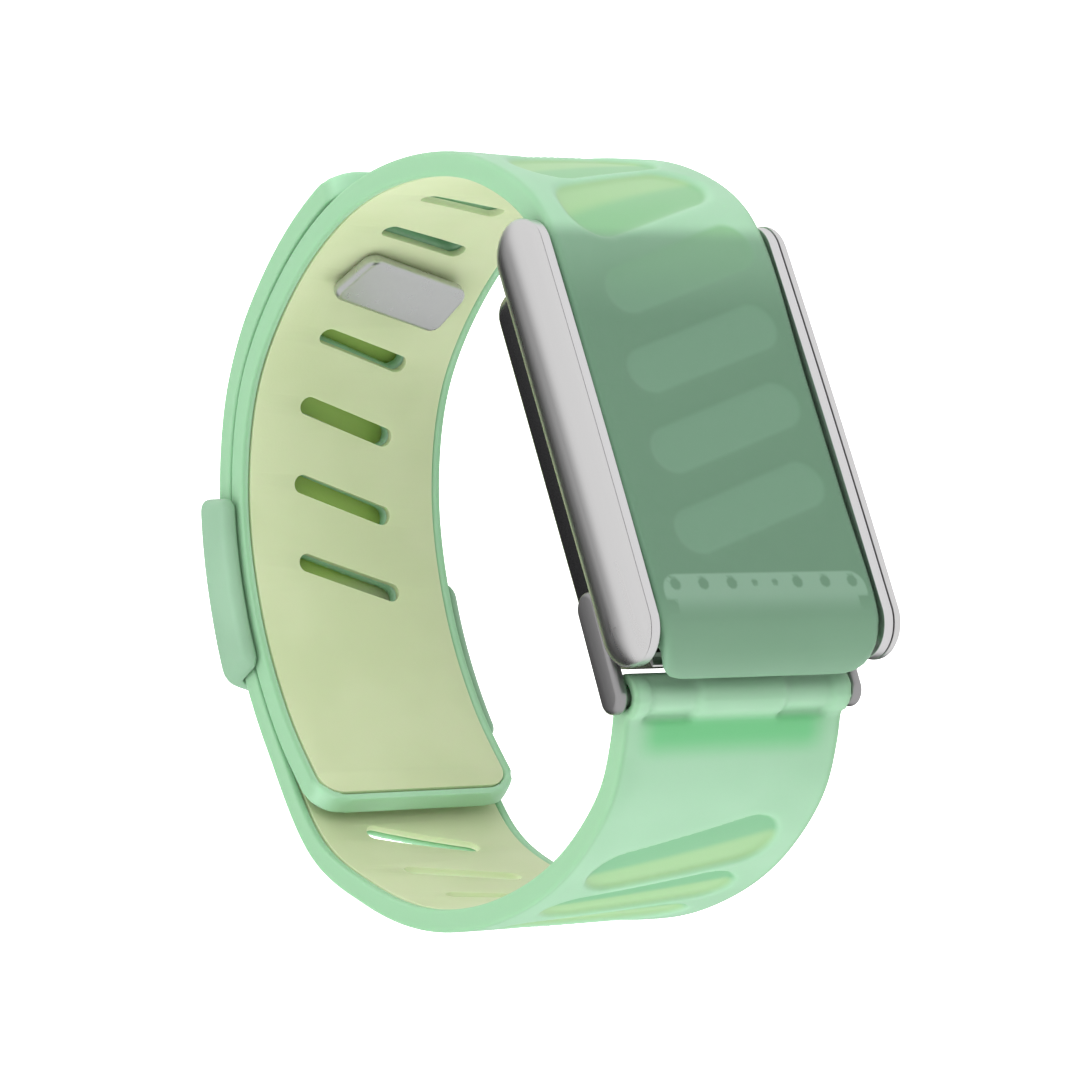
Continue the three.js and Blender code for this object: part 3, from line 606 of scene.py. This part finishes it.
# %% Slot and panel pattern
SLANT = math.radians(19.5)
PITCH = 7.8 * MM
SLOT_LENGTH = 11.3 * MM
SLOT_WIDTH = 1.9 * MM
PANEL_LENGTH = 18 * MM
PANEL_WIDTH = 6.8 * MM
COVER_PANEL_WIDTH = 4.8 * MM
STUD_AT = 56.5 * MM
HINGE_AT = 99 * MM
BAND_END = band_line[-1, 0]
UPPER_SLOTS = [STUD_AT + k * PITCH for k in range(-4, 3)]
UPPER_PANELS = [77.2 * MM + k * PITCH for k in range(4)]
COVER_PANELS = [HINGE_AT + 9.75 * MM + k * PITCH for k in range(4)]
COVER_PANEL_SHIFT = 1 * MM
PANEL_DEPTH = 0.6 * MM
COVER_PANEL_DEPTH = 0.15 * MM
LOWER_PANELS = [14.8 * MM + k * PITCH for k in range(7)]
LOWER_SLOTS = [44.5 * MM + k * PITCH for k in range(3)]
HALF = STRAP_WIDTH / 2
LINER_RIM = 0.9 * MM
LINER_THICK = 0.7 * MM
LINER_SEAM = 0.12 * MM
LINER_POCKET_WIDTH = STRAP_WIDTH - 2 * LINER_RIM
LINER_POCKET_DEPTH = LINER_THICK + 0.1 * MM
TIP_CORNER = 3.2 * MM
HOOK_CORNER = 3.6 * MM
SKIN = 0.34 * MM


def slot_cutter(spot):
    return pill(SLOT_LENGTH, SLOT_WIDTH, -3 * MM, 5 * MM, (spot, 0), math.pi / 2 + SLANT)


def panel_cutter(spot, depth, thickness, across=0.0, width=PANEL_WIDTH):
    return pill(PANEL_LENGTH, width, thickness - depth, thickness + 3 * MM, (spot, across), math.pi / 2 + SLANT)


def across_pill(co, spot, across=0.0):
    """How far each point of a flat strap is from a slanted pill's own long axis, towards the strap's end."""
    return math.cos(SLANT) * (co[:, 0] - spot) + math.sin(SLANT) * (co[:, 1] - across)


def pill_distance(co, spot, across=0.0, width=PANEL_WIDTH):
    """How far each point of a flat strap is from the edge of a slanted pill; less than zero inside it."""
    u = math.cos(SLANT) * (co[:, 1] - across) - math.sin(SLANT) * (co[:, 0] - spot)
    past = np.maximum(np.abs(u) - (PANEL_LENGTH - width) / 2, 0)
    return np.hypot(past, across_pill(co, spot, across)) - width / 2


def round_tip(piece, x, radius):
    """Rounds the two corners of a flat strap's end, seen from above."""

    def corner(edge):
        ends = [v.co for v in edge.verts]
        return is_upright(edge) and all(abs(c.x - x) < 0.01 * MM for c in ends)

    return bevel_edges(piece, corner, radius, 12)


def step(value, low, high):
    """Rises smoothly from 0 at low to 1 at high."""
    t = np.clip((value - low) / (high - low), 0, 1)
    return t * t * (3 - 2 * t)


# %% Upper band, flat
PLATE_LENGTH = 6.7 * MM
PLATE_AT = BAND_END - GAP - PLATE_LENGTH
LINER_END = HINGE_AT - GAP - LINER_RIM


def liner_block(start, end, width, low, high, corner):
    """A flat strip with two rounded corners at its start."""
    strip = block((start, -width / 2, low), (end, width / 2, high))
    return round_tip(strip, start, corner) if corner else strip


upper_band = block((0, -HALF, 0), (BAND_END, HALF, UPPER_THICK), "upper_band")
round_tip(upper_band, 0, TIP_CORNER)
round_tip(upper_band, BAND_END, HOOK_CORNER)
combine(
    upper_band,
    [
        liner_block(LINER_RIM, LINER_END, LINER_POCKET_WIDTH, -1 * MM, LINER_POCKET_DEPTH, TIP_CORNER - LINER_RIM),
        block((PLATE_AT - GAP, -10.8 * MM, -1 * MM), (BAND_END + 1 * MM, 10.8 * MM, 1.2 * MM)),
        *(slot_cutter(spot) for spot in UPPER_SLOTS),
        *(panel_cutter(spot, PANEL_DEPTH, UPPER_THICK) for spot in UPPER_PANELS),
        *(
            panel_cutter(spot, COVER_PANEL_DEPTH, UPPER_THICK, COVER_PANEL_SHIFT, COVER_PANEL_WIDTH)
            for spot in COVER_PANELS
        ),
    ],
)
melt(upper_band, SKIN, 4)
flat = positions(upper_band)
print("upper band", len(flat), "vertices")


# %% Upper band, what its finish needs to know
def pattern_distance(co, spots, across=0.0, width=PANEL_WIDTH):
    """How far each point is from the edge of the nearest of several pills."""
    return np.min([pill_distance(co, spot, across, width) for spot in spots], axis=0)


def rim(co):
    """1 on the long edges of a flat strap, where it is seen through its whole width and looks deeper."""
    return step(np.abs(co[:, 1]), STRAP_WIDTH / 2 - 0.7 * MM, STRAP_WIDTH / 2 - 0.05 * MM)


def lit_side(co, spots, direction):
    """0 on the painted-shadow side of the nearest panel, next to the tracker, and 1 on its painted-lit side."""
    offsets = np.array([across_pill(co, spot) for spot in spots])
    nearest = np.take_along_axis(offsets, np.abs(offsets).argmin(axis=0)[None], axis=0)[0]
    return step(direction * nearest, -0.5 * MM, 0.7 * MM)


def plate_distance(co):
    """How far each point is from the edge of the latch plate and its holes; less than zero on the metal."""
    x, y = co[:, 0] - PLATE_AT, np.abs(co[:, 1])
    half, corner = 10.5 * MM, 1.5 * MM
    edge_x, edge_y = corner - x, y - (half - corner)
    rounded = np.hypot(np.maximum(edge_x, 0), np.maximum(edge_y, 0)) - corner
    outline = np.where((edge_x > 0) | (edge_y > 0), rounded, np.maximum(edge_x, edge_y) - corner)
    row = 0.9 * MM
    for place, radius in ((1.05, 0.3), (3.4, 0.5), (6.3, 0.5), (9.15, 0.5)):
        outline = np.maximum(outline, radius * MM - np.hypot(x - row, y - place * MM))
    notch = np.maximum(np.abs(x - row - 1.8 * MM) - 0.5 * MM, 9.4 * MM - y)
    return np.maximum(outline, -notch)


panel_edge = np.minimum(
    pattern_distance(flat, UPPER_PANELS),
    pattern_distance(flat, COVER_PANELS, COVER_PANEL_SHIFT, COVER_PANEL_WIDTH),
)
# the distance along the band at which the black tracker starts under it
cover_part = band_line[band_line[:, 0] > 105 * MM]
far_edge = np.interp(-POD_HIGH.y, -cover_part[:, 1], cover_part[:, 0])
bend_start = BAND_END - 6 * MM
over_black = (
    step(flat[:, 0], far_edge - 1.0 * MM, far_edge + 1.0 * MM)
    * (0.7 + 0.3 * step(flat[:, 0], far_edge, far_edge + 9 * MM))
    * (1 - 0.3 * step(flat[:, 0], bend_start, BAND_END - 0.5 * MM))
)
outside = flat[:, 2] > 0.6 * UPPER_THICK
mark(upper_band, "panel_edge", np.where(outside, panel_edge, 5 * MM) / MM)
mark(upper_band, "panel_lit", 0.35 + 0.65 * lit_side(flat, UPPER_PANELS, -1))
mark(upper_band, "over_black", over_black)
mark(upper_band, "plate_edge", plate_distance(flat) / MM)
mark(upper_band, "crease_shade", np.zeros(len(flat)))
mark(upper_band, "rim", rim(flat))
mark(upper_band, "plate_fade", 1 - step(flat[:, 0], PLATE_AT + 1.6 * MM, PLATE_AT + 3.6 * MM))
thicker = 1 + (COVER_THICK / UPPER_THICK - 1) * step(flat[:, 0], HINGE_AT - 6 * MM, HINGE_AT + 4 * MM)
move_to(upper_band, flat * np.column_stack([np.ones(len(flat)), np.ones(len(flat)), thicker]))
wrap(upper_band, band_line)
smooth(upper_band, 60)
upper_band.data.materials.clear()
upper_band.data.materials.append(mint)
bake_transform(upper_band)
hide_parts("upper_strap", "cover_strap")

# %% [markdown]
# ## The liners
# A thin lime layer lines the inside of both straps. It is a separate colour moulded into the mint one, so
# its slots have crisp edges. It needs cuts across it every millimetre or so, to follow the bend.


# %% Liners
def slice_up(piece, start, end, spacing=1.0 * MM):
    """Cuts a flat strap across at even spacing, so that it can bend."""
    use(piece)
    bpy.ops.object.mode_set(mode="EDIT")
    for spot in np.arange(start + spacing, end, spacing):
        bpy.ops.mesh.select_all(action="SELECT")
        bpy.ops.mesh.bisect(plane_co=(spot, 0, 0), plane_no=(1, 0, 0))
    bpy.ops.object.mode_set(mode="OBJECT")
    return piece


def make_liner(name, line, start, end, slots, corner, lap_shade):
    """A liner with slots, painted deeper as shade from a given distance on, where the other strap lies over it."""
    width = LINER_POCKET_WIDTH - 2 * LINER_SEAM
    strip = liner_block(start + LINER_SEAM, end - LINER_SEAM, width, 0, LINER_THICK, corner)
    strip.name = name
    combine(strip, [slot_cutter(spot) for spot in slots])
    bevel(strip, 0.12 * MM, 2, 50)
    slice_up(strip, start, end)
    flat = positions(strip)
    mark(strip, "lap_shade", step(flat[:, 0], lap_shade, lap_shade + 3 * MM))
    wrap(strip, line)
    smooth(strip, 40)
    strip.data.materials.append(lime)
    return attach(strip, "root")


upper_lining = make_liner("upper_lining", band_line, LINER_RIM, LINER_END, UPPER_SLOTS, 2.2 * MM, 2 * LINER_END)
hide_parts("upper_liner")
print("upper lining", len(upper_lining.data.polygons), "faces")

# %% [markdown]
# ## The lower strap
# The lower strap is made the same way. It starts in a knuckle round the bar, and its free end can be
# lifted off the band. A bend between two bodies is measured along a straight line, which can't tell the
# two sides of a ring apart, so the strap is parted where the keeper hides it, and only the upper half
# bends.

# %% Lower strap, flat
LOWER_SPLIT = 88.4 * MM
STUD_BESIDE = 123.94 * MM
FLAP_AT = 127.84 * MM
TAIL_END = FLAP_AT + 9.5 * MM
start_y, start_z = along(lower_line, 0)
tip_y, tip_z = along(lower_line, -1 * MM)
run_y, run_z = (start_y - tip_y) / MM, (start_z - tip_z) / MM
bar_y, bar_z = BAR.y - start_y, BAR.z - start_z
bar_spot = (bar_y * run_y + bar_z * run_z, bar_y * run_z - bar_z * run_y)
BORE_RADIUS = 1.05 * MM
KNUCKLE_WIDTH = 8.8 * MM
RECESS_WIDTH = 5.2 * MM
RECESS_CORE = 1.5 * MM


def rod(radius, half_width, spot, sides=48, name="rod"):
    """A cylinder across a flat strap, centred on a place along and out from it."""
    deselect()
    place, turn = (spot[0], 0, spot[1]), (math.pi / 2, 0, 0)
    bpy.ops.mesh.primitive_cylinder_add(
        vertices=sides, radius=radius, depth=2 * half_width, location=place, rotation=turn
    )
    bpy.context.view_layer.update()
    return settle(bpy.context.object, name)


def recess_cutters():
    """Half rings round the bar that cut a recess on each side of the knuckle, in its outward side only."""
    rings = []
    reach = 9 * MM
    for side in (-1, 1):
        ring = rod(KNUCKLE_RADIUS + 0.5 * MM, RECESS_WIDTH / 2, bar_spot)
        inward_half = block((-reach, -reach, bar_spot[1] - reach), (reach, reach, bar_spot[1] + 0.2 * MM))
        combine(ring, [rod(RECESS_CORE, RECESS_WIDTH, bar_spot), inward_half])
        ring.data.transform(Matrix.Translation((0, side * (KNUCKLE_WIDTH + RECESS_WIDTH) / 2, 0)))
        rings.append(ring)
    return rings


lower_band = block((-0.2 * MM, -HALF, 0), (LOWER_SPLIT, HALF, LOWER_THICK), "lower_band")
combine(lower_band, [rod(KNUCKLE_RADIUS, HALF, bar_spot)], "UNION")
combine(
    lower_band,
    [
        liner_block(LINER_RIM, LOWER_SPLIT + 2 * MM, LINER_POCKET_WIDTH, -1 * MM, LINER_POCKET_DEPTH, 0),
        rod(BORE_RADIUS, 12 * MM, bar_spot),
        *recess_cutters(),
        *(slot_cutter(spot) for spot in LOWER_SLOTS),
        *(panel_cutter(spot, PANEL_DEPTH, LOWER_THICK) for spot in LOWER_PANELS),
    ],
)
melt(lower_band, SKIN, 4)
tail_band = block((LOWER_SPLIT + 0.1 * MM, -HALF, 0), (TAIL_END, HALF, LOWER_THICK), "tail_band")
round_tip(tail_band, TAIL_END, TIP_CORNER)
combine(
    tail_band,
    [
        liner_block(LOWER_SPLIT - 2 * MM, FLAP_AT - 1 * MM, LINER_POCKET_WIDTH, -1 * MM, LINER_POCKET_DEPTH, 0),
        slot_cutter(STUD_BESIDE),
    ],
)
melt(tail_band, SKIN, 4)
print("lower band", len(lower_band.data.vertices), "tail", len(tail_band.data.vertices), "bar", bar_spot)


# %% Lower strap, wrapped
def crease_shade(co):
    """1 along the hollow under the knuckle, painted as shade; the silicone is thick there and looks greener."""
    hollow = step(co[:, 0], 0.2 * MM, 1.4 * MM) * (1 - step(co[:, 0], 2.2 * MM, 4.6 * MM))
    return hollow * (1 - step(np.abs(co[:, 1]), 7.5 * MM, 10.5 * MM))


for strap in (lower_band, tail_band):
    flat = positions(strap)
    outside = flat[:, 2] > 0.6 * LOWER_THICK
    mark(strap, "panel_edge", np.where(outside, pattern_distance(flat, LOWER_PANELS), 5 * MM) / MM)
    mark(strap, "panel_lit", lit_side(flat, LOWER_PANELS, 1))
    mark(strap, "crease_shade", crease_shade(flat))
    mark(strap, "rim", rim(flat))
    for unused, value in (("over_black", 0.0), ("plate_edge", 5.0), ("plate_fade", 0.0)):
        mark(strap, unused, np.full(len(flat), value))
    wrap(strap, lower_line)
    smooth(strap, 60)
    strap.data.materials.clear()
    strap.data.materials.append(mint)
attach(lower_band, "root")
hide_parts("lower_strap")
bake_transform(tail_band)
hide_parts("tail_tip")

lower_slots = [*LOWER_SLOTS, STUD_BESIDE]
lower_lining = make_liner("lower_lining", lower_line, LINER_RIM, FLAP_AT - 1.2 * MM, lower_slots, 0, LOWER_SPLIT)
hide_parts("lower_liner")

# %% [markdown]
# ## The keeper
# A slanted loop on the outside of the band keeps the lower strap down. It is a tube of four walls: a block
# less the room for the straps. The whole of it is sheared while flat, so that both its ends lie at the same
# slant as the slots, and its corners are generously rounded.

# %% Keeper
KEEPER_AT = 21 * MM
KEEPER_LENGTH = 16.4 * MM
KEEPER_TOP = LAP + LOWER_THICK + GAP
KEEPER_HALF = 12.8 * MM
KEEPER_WALL = 1.6 * MM
keeper_low = (-KEEPER_LENGTH / 2, -KEEPER_HALF, 0.6 * MM)
keeper = block(keeper_low, (KEEPER_LENGTH / 2, KEEPER_HALF, KEEPER_TOP + KEEPER_WALL), "keeper_loop")
bevel(keeper, 1.2 * MM, 6)
combine(keeper, [block((-20 * MM, -HALF - 0.15 * MM, -2 * MM), (20 * MM, HALF + 0.15 * MM, KEEPER_TOP))])
melt(keeper, 0.3 * MM, 3)
flat = positions(keeper)
flat[:, 0] += KEEPER_AT - math.tan(SLANT) * flat[:, 1]
move_to(keeper, flat)
wrap(keeper, band_line)
smooth(keeper, 60)
keeper.data.materials.clear()
keeper.data.materials.append(shaded_keeper_mint)
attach(keeper, "root")
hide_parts("strap_keeper")

# %% [markdown]
# ## The stud
# Two pieces of metal clamp the lower strap: a flat head that shows inside the ring, and a plate outside.
# The head is a slanted plate with rounded corners and softly rounded edges, so that it slides through a
# slot easily.

# %% Stud
STUD_LIFT = 0.46 * MM
STUD_THICK = 1.44 * MM
STUD_HALF = 7.1 * MM
STUD_BACK = 2 * MM
STUD_FRONT = 4 * MM
RIVET_THICK = 0.8 * MM


def on_strap(piece, line, spot):
    """Lays a stiff piece, made flat round the origin, on a strap without bending it.

    Its X runs along the wrist, its Y along the strap, and its Z outwards.
    """
    y, z = along(line, spot)
    ahead_y, ahead_z = along(line, spot + 0.5 * MM)
    back_y, back_z = along(line, spot - 0.5 * MM)
    run = Vector((0, ahead_y - back_y, ahead_z - back_z)).normalized()
    out = Vector((0, run.z, -run.y))
    turn = Matrix((Vector((-1, 0, 0)), run, out)).transposed()
    if turn.determinant() < 0:
        turn = Matrix((Vector((1, 0, 0)), run, out)).transposed()
    piece.data.transform(Matrix.Translation((0, float(y), float(z))) @ turn.to_4x4() @ Matrix.Rotation(SLANT, 4, "Z"))
    return piece


stud_low = (-STUD_HALF, -STUD_BACK, -STUD_LIFT - STUD_THICK)
stud = block(stud_low, (STUD_HALF, STUD_FRONT, -STUD_LIFT), "stud_face")
for vertex in stud.data.vertices:
    vertex.co.x *= 1 - 0.05 * vertex.co.y / STUD_FRONT
bevel_edges(stud, is_upright, 1.3 * MM, 8)
bevel(stud, 0.55 * MM, 5, 40)
on_strap(stud, band_line, STUD_AT)
smooth(stud, 40)
stud.data.materials.append(stud_steel)
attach(stud, "root")
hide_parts("stud_head")

rivet_low = LOWER_THICK + GAP
rivet = pill(11.4 * MM, 4.4 * MM, rivet_low, rivet_low + RIVET_THICK, sides=48, name="stud_rivet_plate")
bevel(rivet, 0.3 * MM, 4, 40)
on_strap(rivet, lower_line, STUD_BESIDE)
smooth(rivet, 40)
rivet.data.materials.append(steel)
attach(rivet, "root")
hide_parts("stud_plate")

# %% [markdown]
# ## The metal frame
# Two fat satin bars hold the tracker by its sides. Seen from the side a bar is a stadium with a barely
# crowned top. It starts as a cylinder, whose two halves are moved apart. Cuts across it let the crown
# curve, and its outer face is domed. A thin trim of the same shape lies inside each rail, with a seam.

# %% Rails and trims
RAIL_HEIGHT = 6.6 * MM
RAIL_CROWN = 0.15 * MM
RAIL_MIDDLE = POD_MIDDLE - 0.5 * MM
RAIL_HALF = (POD_HIGH.y - POD_LOW.y) / 2 + 2.6 * MM
RAIL_BOTTOM = POD_HIGH.z - 3.6 * MM


def side_bar(name, inner, outer, shrink, dome, edge):
    """A stadium-shaped bar that stands along the tracker between two distances from the middle.

    Its outer face is inset in steps that rise less and less, which domes it by so much.
    """
    radius = RAIL_HEIGHT / 2 - shrink
    half = RAIL_HALF - shrink
    deselect()
    bpy.ops.mesh.primitive_cylinder_add(vertices=72, radius=radius, depth=outer - inner, rotation=(0, math.pi / 2, 0))
    bar = settle(bpy.context.object, name)
    stretch = half - radius
    for vertex in bar.data.vertices:
        vertex.co.y += math.copysign(stretch, vertex.co.y + 1e-7)
    use(bar)
    bpy.ops.object.mode_set(mode="EDIT")
    for spot in np.linspace(-stretch, stretch, 25)[1:-1]:
        bpy.ops.mesh.select_all(action="SELECT")
        bpy.ops.mesh.bisect(plane_co=(0, spot, 0), plane_no=(0, 1, 0))
    bpy.ops.object.mode_set(mode="OBJECT")
    for vertex in bar.data.vertices:
        along_bar = min(abs(vertex.co.y) / stretch, 1)
        if vertex.co.z > 0:
            vertex.co.z += RAIL_CROWN * (1 - along_bar**2) * vertex.co.z / radius
    bar.data.transform(Matrix.Translation(((inner + outer) / 2, RAIL_MIDDLE, RAIL_BOTTOM + RAIL_HEIGHT / 2)))
    select_parts(bar, "FACE", lambda face: face.normal.x > 0.9)
    bpy.ops.mesh.dissolve_faces()
    steps = 9
    for i in range(steps):
        turn, turned = math.pi / 2 * i / steps, math.pi / 2 * (i + 1) / steps
        inwards = (math.cos(turn) - math.cos(turned)) * dome[0]
        outwards = (math.sin(turned) - math.sin(turn)) * dome[1]
        bpy.ops.mesh.inset(thickness=inwards, depth=outwards)
    bpy.ops.object.mode_set(mode="OBJECT")
    bevel(bar, edge, 3, 60)
    return bar


def mirrored(piece, name):
    """A copy on the other side of the tracker, with its faces turned the right way out again."""
    twin = piece.copy()
    twin.data = piece.data.copy()
    twin.name = name
    bpy.context.scene.collection.objects.link(twin)
    twin.data.transform(Matrix.Diagonal((-1, 1, 1, 1)))
    twin.data.flip_normals()
    return twin


def finish_pair(right, names, material, nodes):
    """Finishes the right piece of a pair and its mirror image, which both ride on the frame."""
    for piece, name, node in ((right, names[1], nodes[1]), (mirrored(right, names[0]), names[0], nodes[0])):
        piece.name = name
        smooth(piece, 35)
        piece.data.materials.clear()
        piece.data.materials.append(material)
        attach(piece, "frame")
        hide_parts(node)


trim_box, rail_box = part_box("rail_trim_right"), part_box("side_rail_right")
RAIL_DOME = (3.0 * MM, 1.35 * MM)
rail = side_bar("rail", rail_box[0].x, rail_box[1].x - RAIL_DOME[1], 0, RAIL_DOME, 0.15 * MM)
finish_pair(rail, ("rail_left", "rail_right"), steel, ("side_rail_left", "side_rail_right"))
trim = side_bar("trim", trim_box[0].x, rail_box[0].x - 0.12 * MM, 0.1 * MM, (0.1 * MM, 0.01 * MM), 0.1 * MM)
finish_pair(trim, ("trim_left", "trim_right"), bright_steel, ("rail_trim_left", "rail_trim_right"))
print("rail", [round(c / MM, 2) for c in rail_box[0]], [round(c / MM, 2) for c in rail_box[1]])

# %% [markdown]
# ## The latch arms and the bar
# A small arm under each rail reaches past the tracker and carries the bar that the lower strap hangs on.
# An arm is a stadium as well, but its far end is lower and flatter, so the far half is squeezed.

# %% Arms and bar
ARM_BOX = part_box("hinge_arm_right")
ARM_RADIUS = 1.5 * MM
arm = pill(2 * ARM_RADIUS + 0.01 * MM, 2 * ARM_RADIUS, ARM_BOX[0].x, ARM_BOX[1].x, sides=48, name="arm")
arm.data.transform(Matrix(((0, 0, 1, 0), (1, 0, 0, 0), (0, 1, 0, 0), (0, 0, 0, 1))))
reach = ARM_BOX[1].y - BAR.y
top = ARM_BOX[1].z - BAR.z
for vertex in arm.data.vertices:
    if vertex.co.y > 0:
        vertex.co.y += reach - ARM_RADIUS
        vertex.co.z = (vertex.co.z + ARM_RADIUS) / (2 * ARM_RADIUS) * (top + 1.25 * MM) - 1.25 * MM
arm.data.transform(Matrix.Translation((0, BAR.y, BAR.z)))
bevel(arm, 0.45 * MM, 5, 50)
bore_end = ARM_BOX[1].x - 0.6 * MM
bore = pill(2.1 * MM, 2.09 * MM, 0, bore_end, sides=32, name="bore")
bore.data.transform(Matrix(((0, 0, 1, 0), (1, 0, 0, BAR.y), (0, 1, 0, BAR.z), (0, 0, 0, 1))))
combine(arm, [bore])
finish_pair(arm, ("arm_left", "arm_right"), dark_steel, ("hinge_arm_left", "hinge_arm_right"))

hinge_pin = rod(0.75 * MM, bore_end - 0.1 * MM, (0, 0), 32, "hinge_pin")
hinge_pin.data.transform(Matrix(((0, 1, 0, 0), (1, 0, 0, BAR.y), (0, 0, 1, BAR.z), (0, 0, 0, 1))))
hinge_pin.data.flip_normals()
bevel(hinge_pin, 0.15 * MM, 3, 40)
smooth(hinge_pin, 40)
hinge_pin.data.materials.append(dark_steel)
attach(hinge_pin, "frame")
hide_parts("strap_bar")

# %% [markdown]
# ## The tracker
# The case is two glossy black shells with a rubber seal between them. On the skin side a dark window
# stands proud, with a steel contact on each side of it.

# %% Tracker case
POD_WALL = 1.0 * MM


def case_block(low, high, corner):
    return bevel_edges(block(low, high), is_upright, corner, 10)


def case_shell(name, node, roof_up):
    """Half of the case: a tray with rounded corners and one softly rounded end."""
    low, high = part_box(node)
    shell = case_block(low, high, 3.2 * MM)
    shell.name = name
    end = high.z if roof_up else low.z
    bevel_edges(shell, lambda edge: all(abs(v.co.z - end) < 0.01 * MM for v in edge.verts), 1.2 * MM, 6)
    wall = Vector((POD_WALL, POD_WALL, POD_WALL if not roof_up else -3 * MM))
    other = Vector((POD_WALL, POD_WALL, POD_WALL if roof_up else -3 * MM))
    combine(shell, [case_block(low + wall, high - other, 2.2 * MM)])
    return shell


top_shell = case_shell("case_top", "pod_top_shell", True)
base_shell = case_shell("case_base", "pod_base_shell", False)
window_low, window_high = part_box("sensor_window")
opening = case_block(
    Vector((window_low.x - GAP, window_low.y - GAP, POD_LOW.z - 10 * MM)),
    Vector((window_high.x + GAP, window_high.y + GAP, POD_LOW.z)),
    3 * MM,
)
contact_holes = []
for side in ("left", "right"):
    spot = sum(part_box("skin_contact_" + side), Vector()) / 2
    contact_holes.append(pill(3.8 * MM, 3.79 * MM, spot.z - 2 * MM, spot.z + 2 * MM, (spot.x, spot.y)))
combine(base_shell, [opening, *contact_holes])
for shell, node in ((top_shell, "pod_top_shell"), (base_shell, "pod_base_shell")):
    smooth(shell, 35)
    shell.data.materials.append(black_shell)
    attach(shell, "tracker")
    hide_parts(node)

# %% Window and contacts
lens = case_block(window_low, window_high, 2.7 * MM)
lens.name = "window_lens"
bevel(lens, 0.4 * MM, 5, 50)
smooth(lens, 35)
lens.data.materials.append(lens_black)
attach(lens, "tracker")
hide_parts("sensor_window")
for side in ("left", "right"):
    low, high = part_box("skin_contact_" + side)
    middle = (low + high) / 2
    contact = pill(3.2 * MM, 3.19 * MM, low.z, high.z, (middle.x, middle.y), sides=48, name="contact_" + side)
    bevel(contact, 0.18 * MM, 4, 50)
    smooth(contact, 35)
    contact.data.materials.append(bright_steel)
    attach(contact, "tracker")
    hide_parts("skin_contact_" + side)

# %% [markdown]
# ## Pieces that keep the shape they have
# The parts inside the tracker, and the latch plate and bridges, are right as they are. They only need
# finishes, and shading that smooths round faces but keeps corners crisp.

# %% Finishes for the rest
FINISHES = {
    steel: ("stud_post", "latch_plate", "vibration_motor"),
    dark_steel: ("bridge_latch_end", "bridge_bend_end"),
    seal_rubber: ("case_gasket",),
    foil: ("battery_cell",),
    board_green: ("main_board",),
    chip_black: ("processor_chip", "memory_chip", "light_sensor_1", "light_sensor_2"),
    gold: ("charge_pin_1", "charge_pin_2", "charge_pin_3"),
    lamp_clear: ("sensor_lamp_1", "sensor_lamp_2", "sensor_lamp_3"),
}
for material, names in FINISHES.items():
    for name in names:
        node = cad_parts[name]
        node.data.materials.clear()
        node.data.materials.append(material)
        smooth(node, 30)
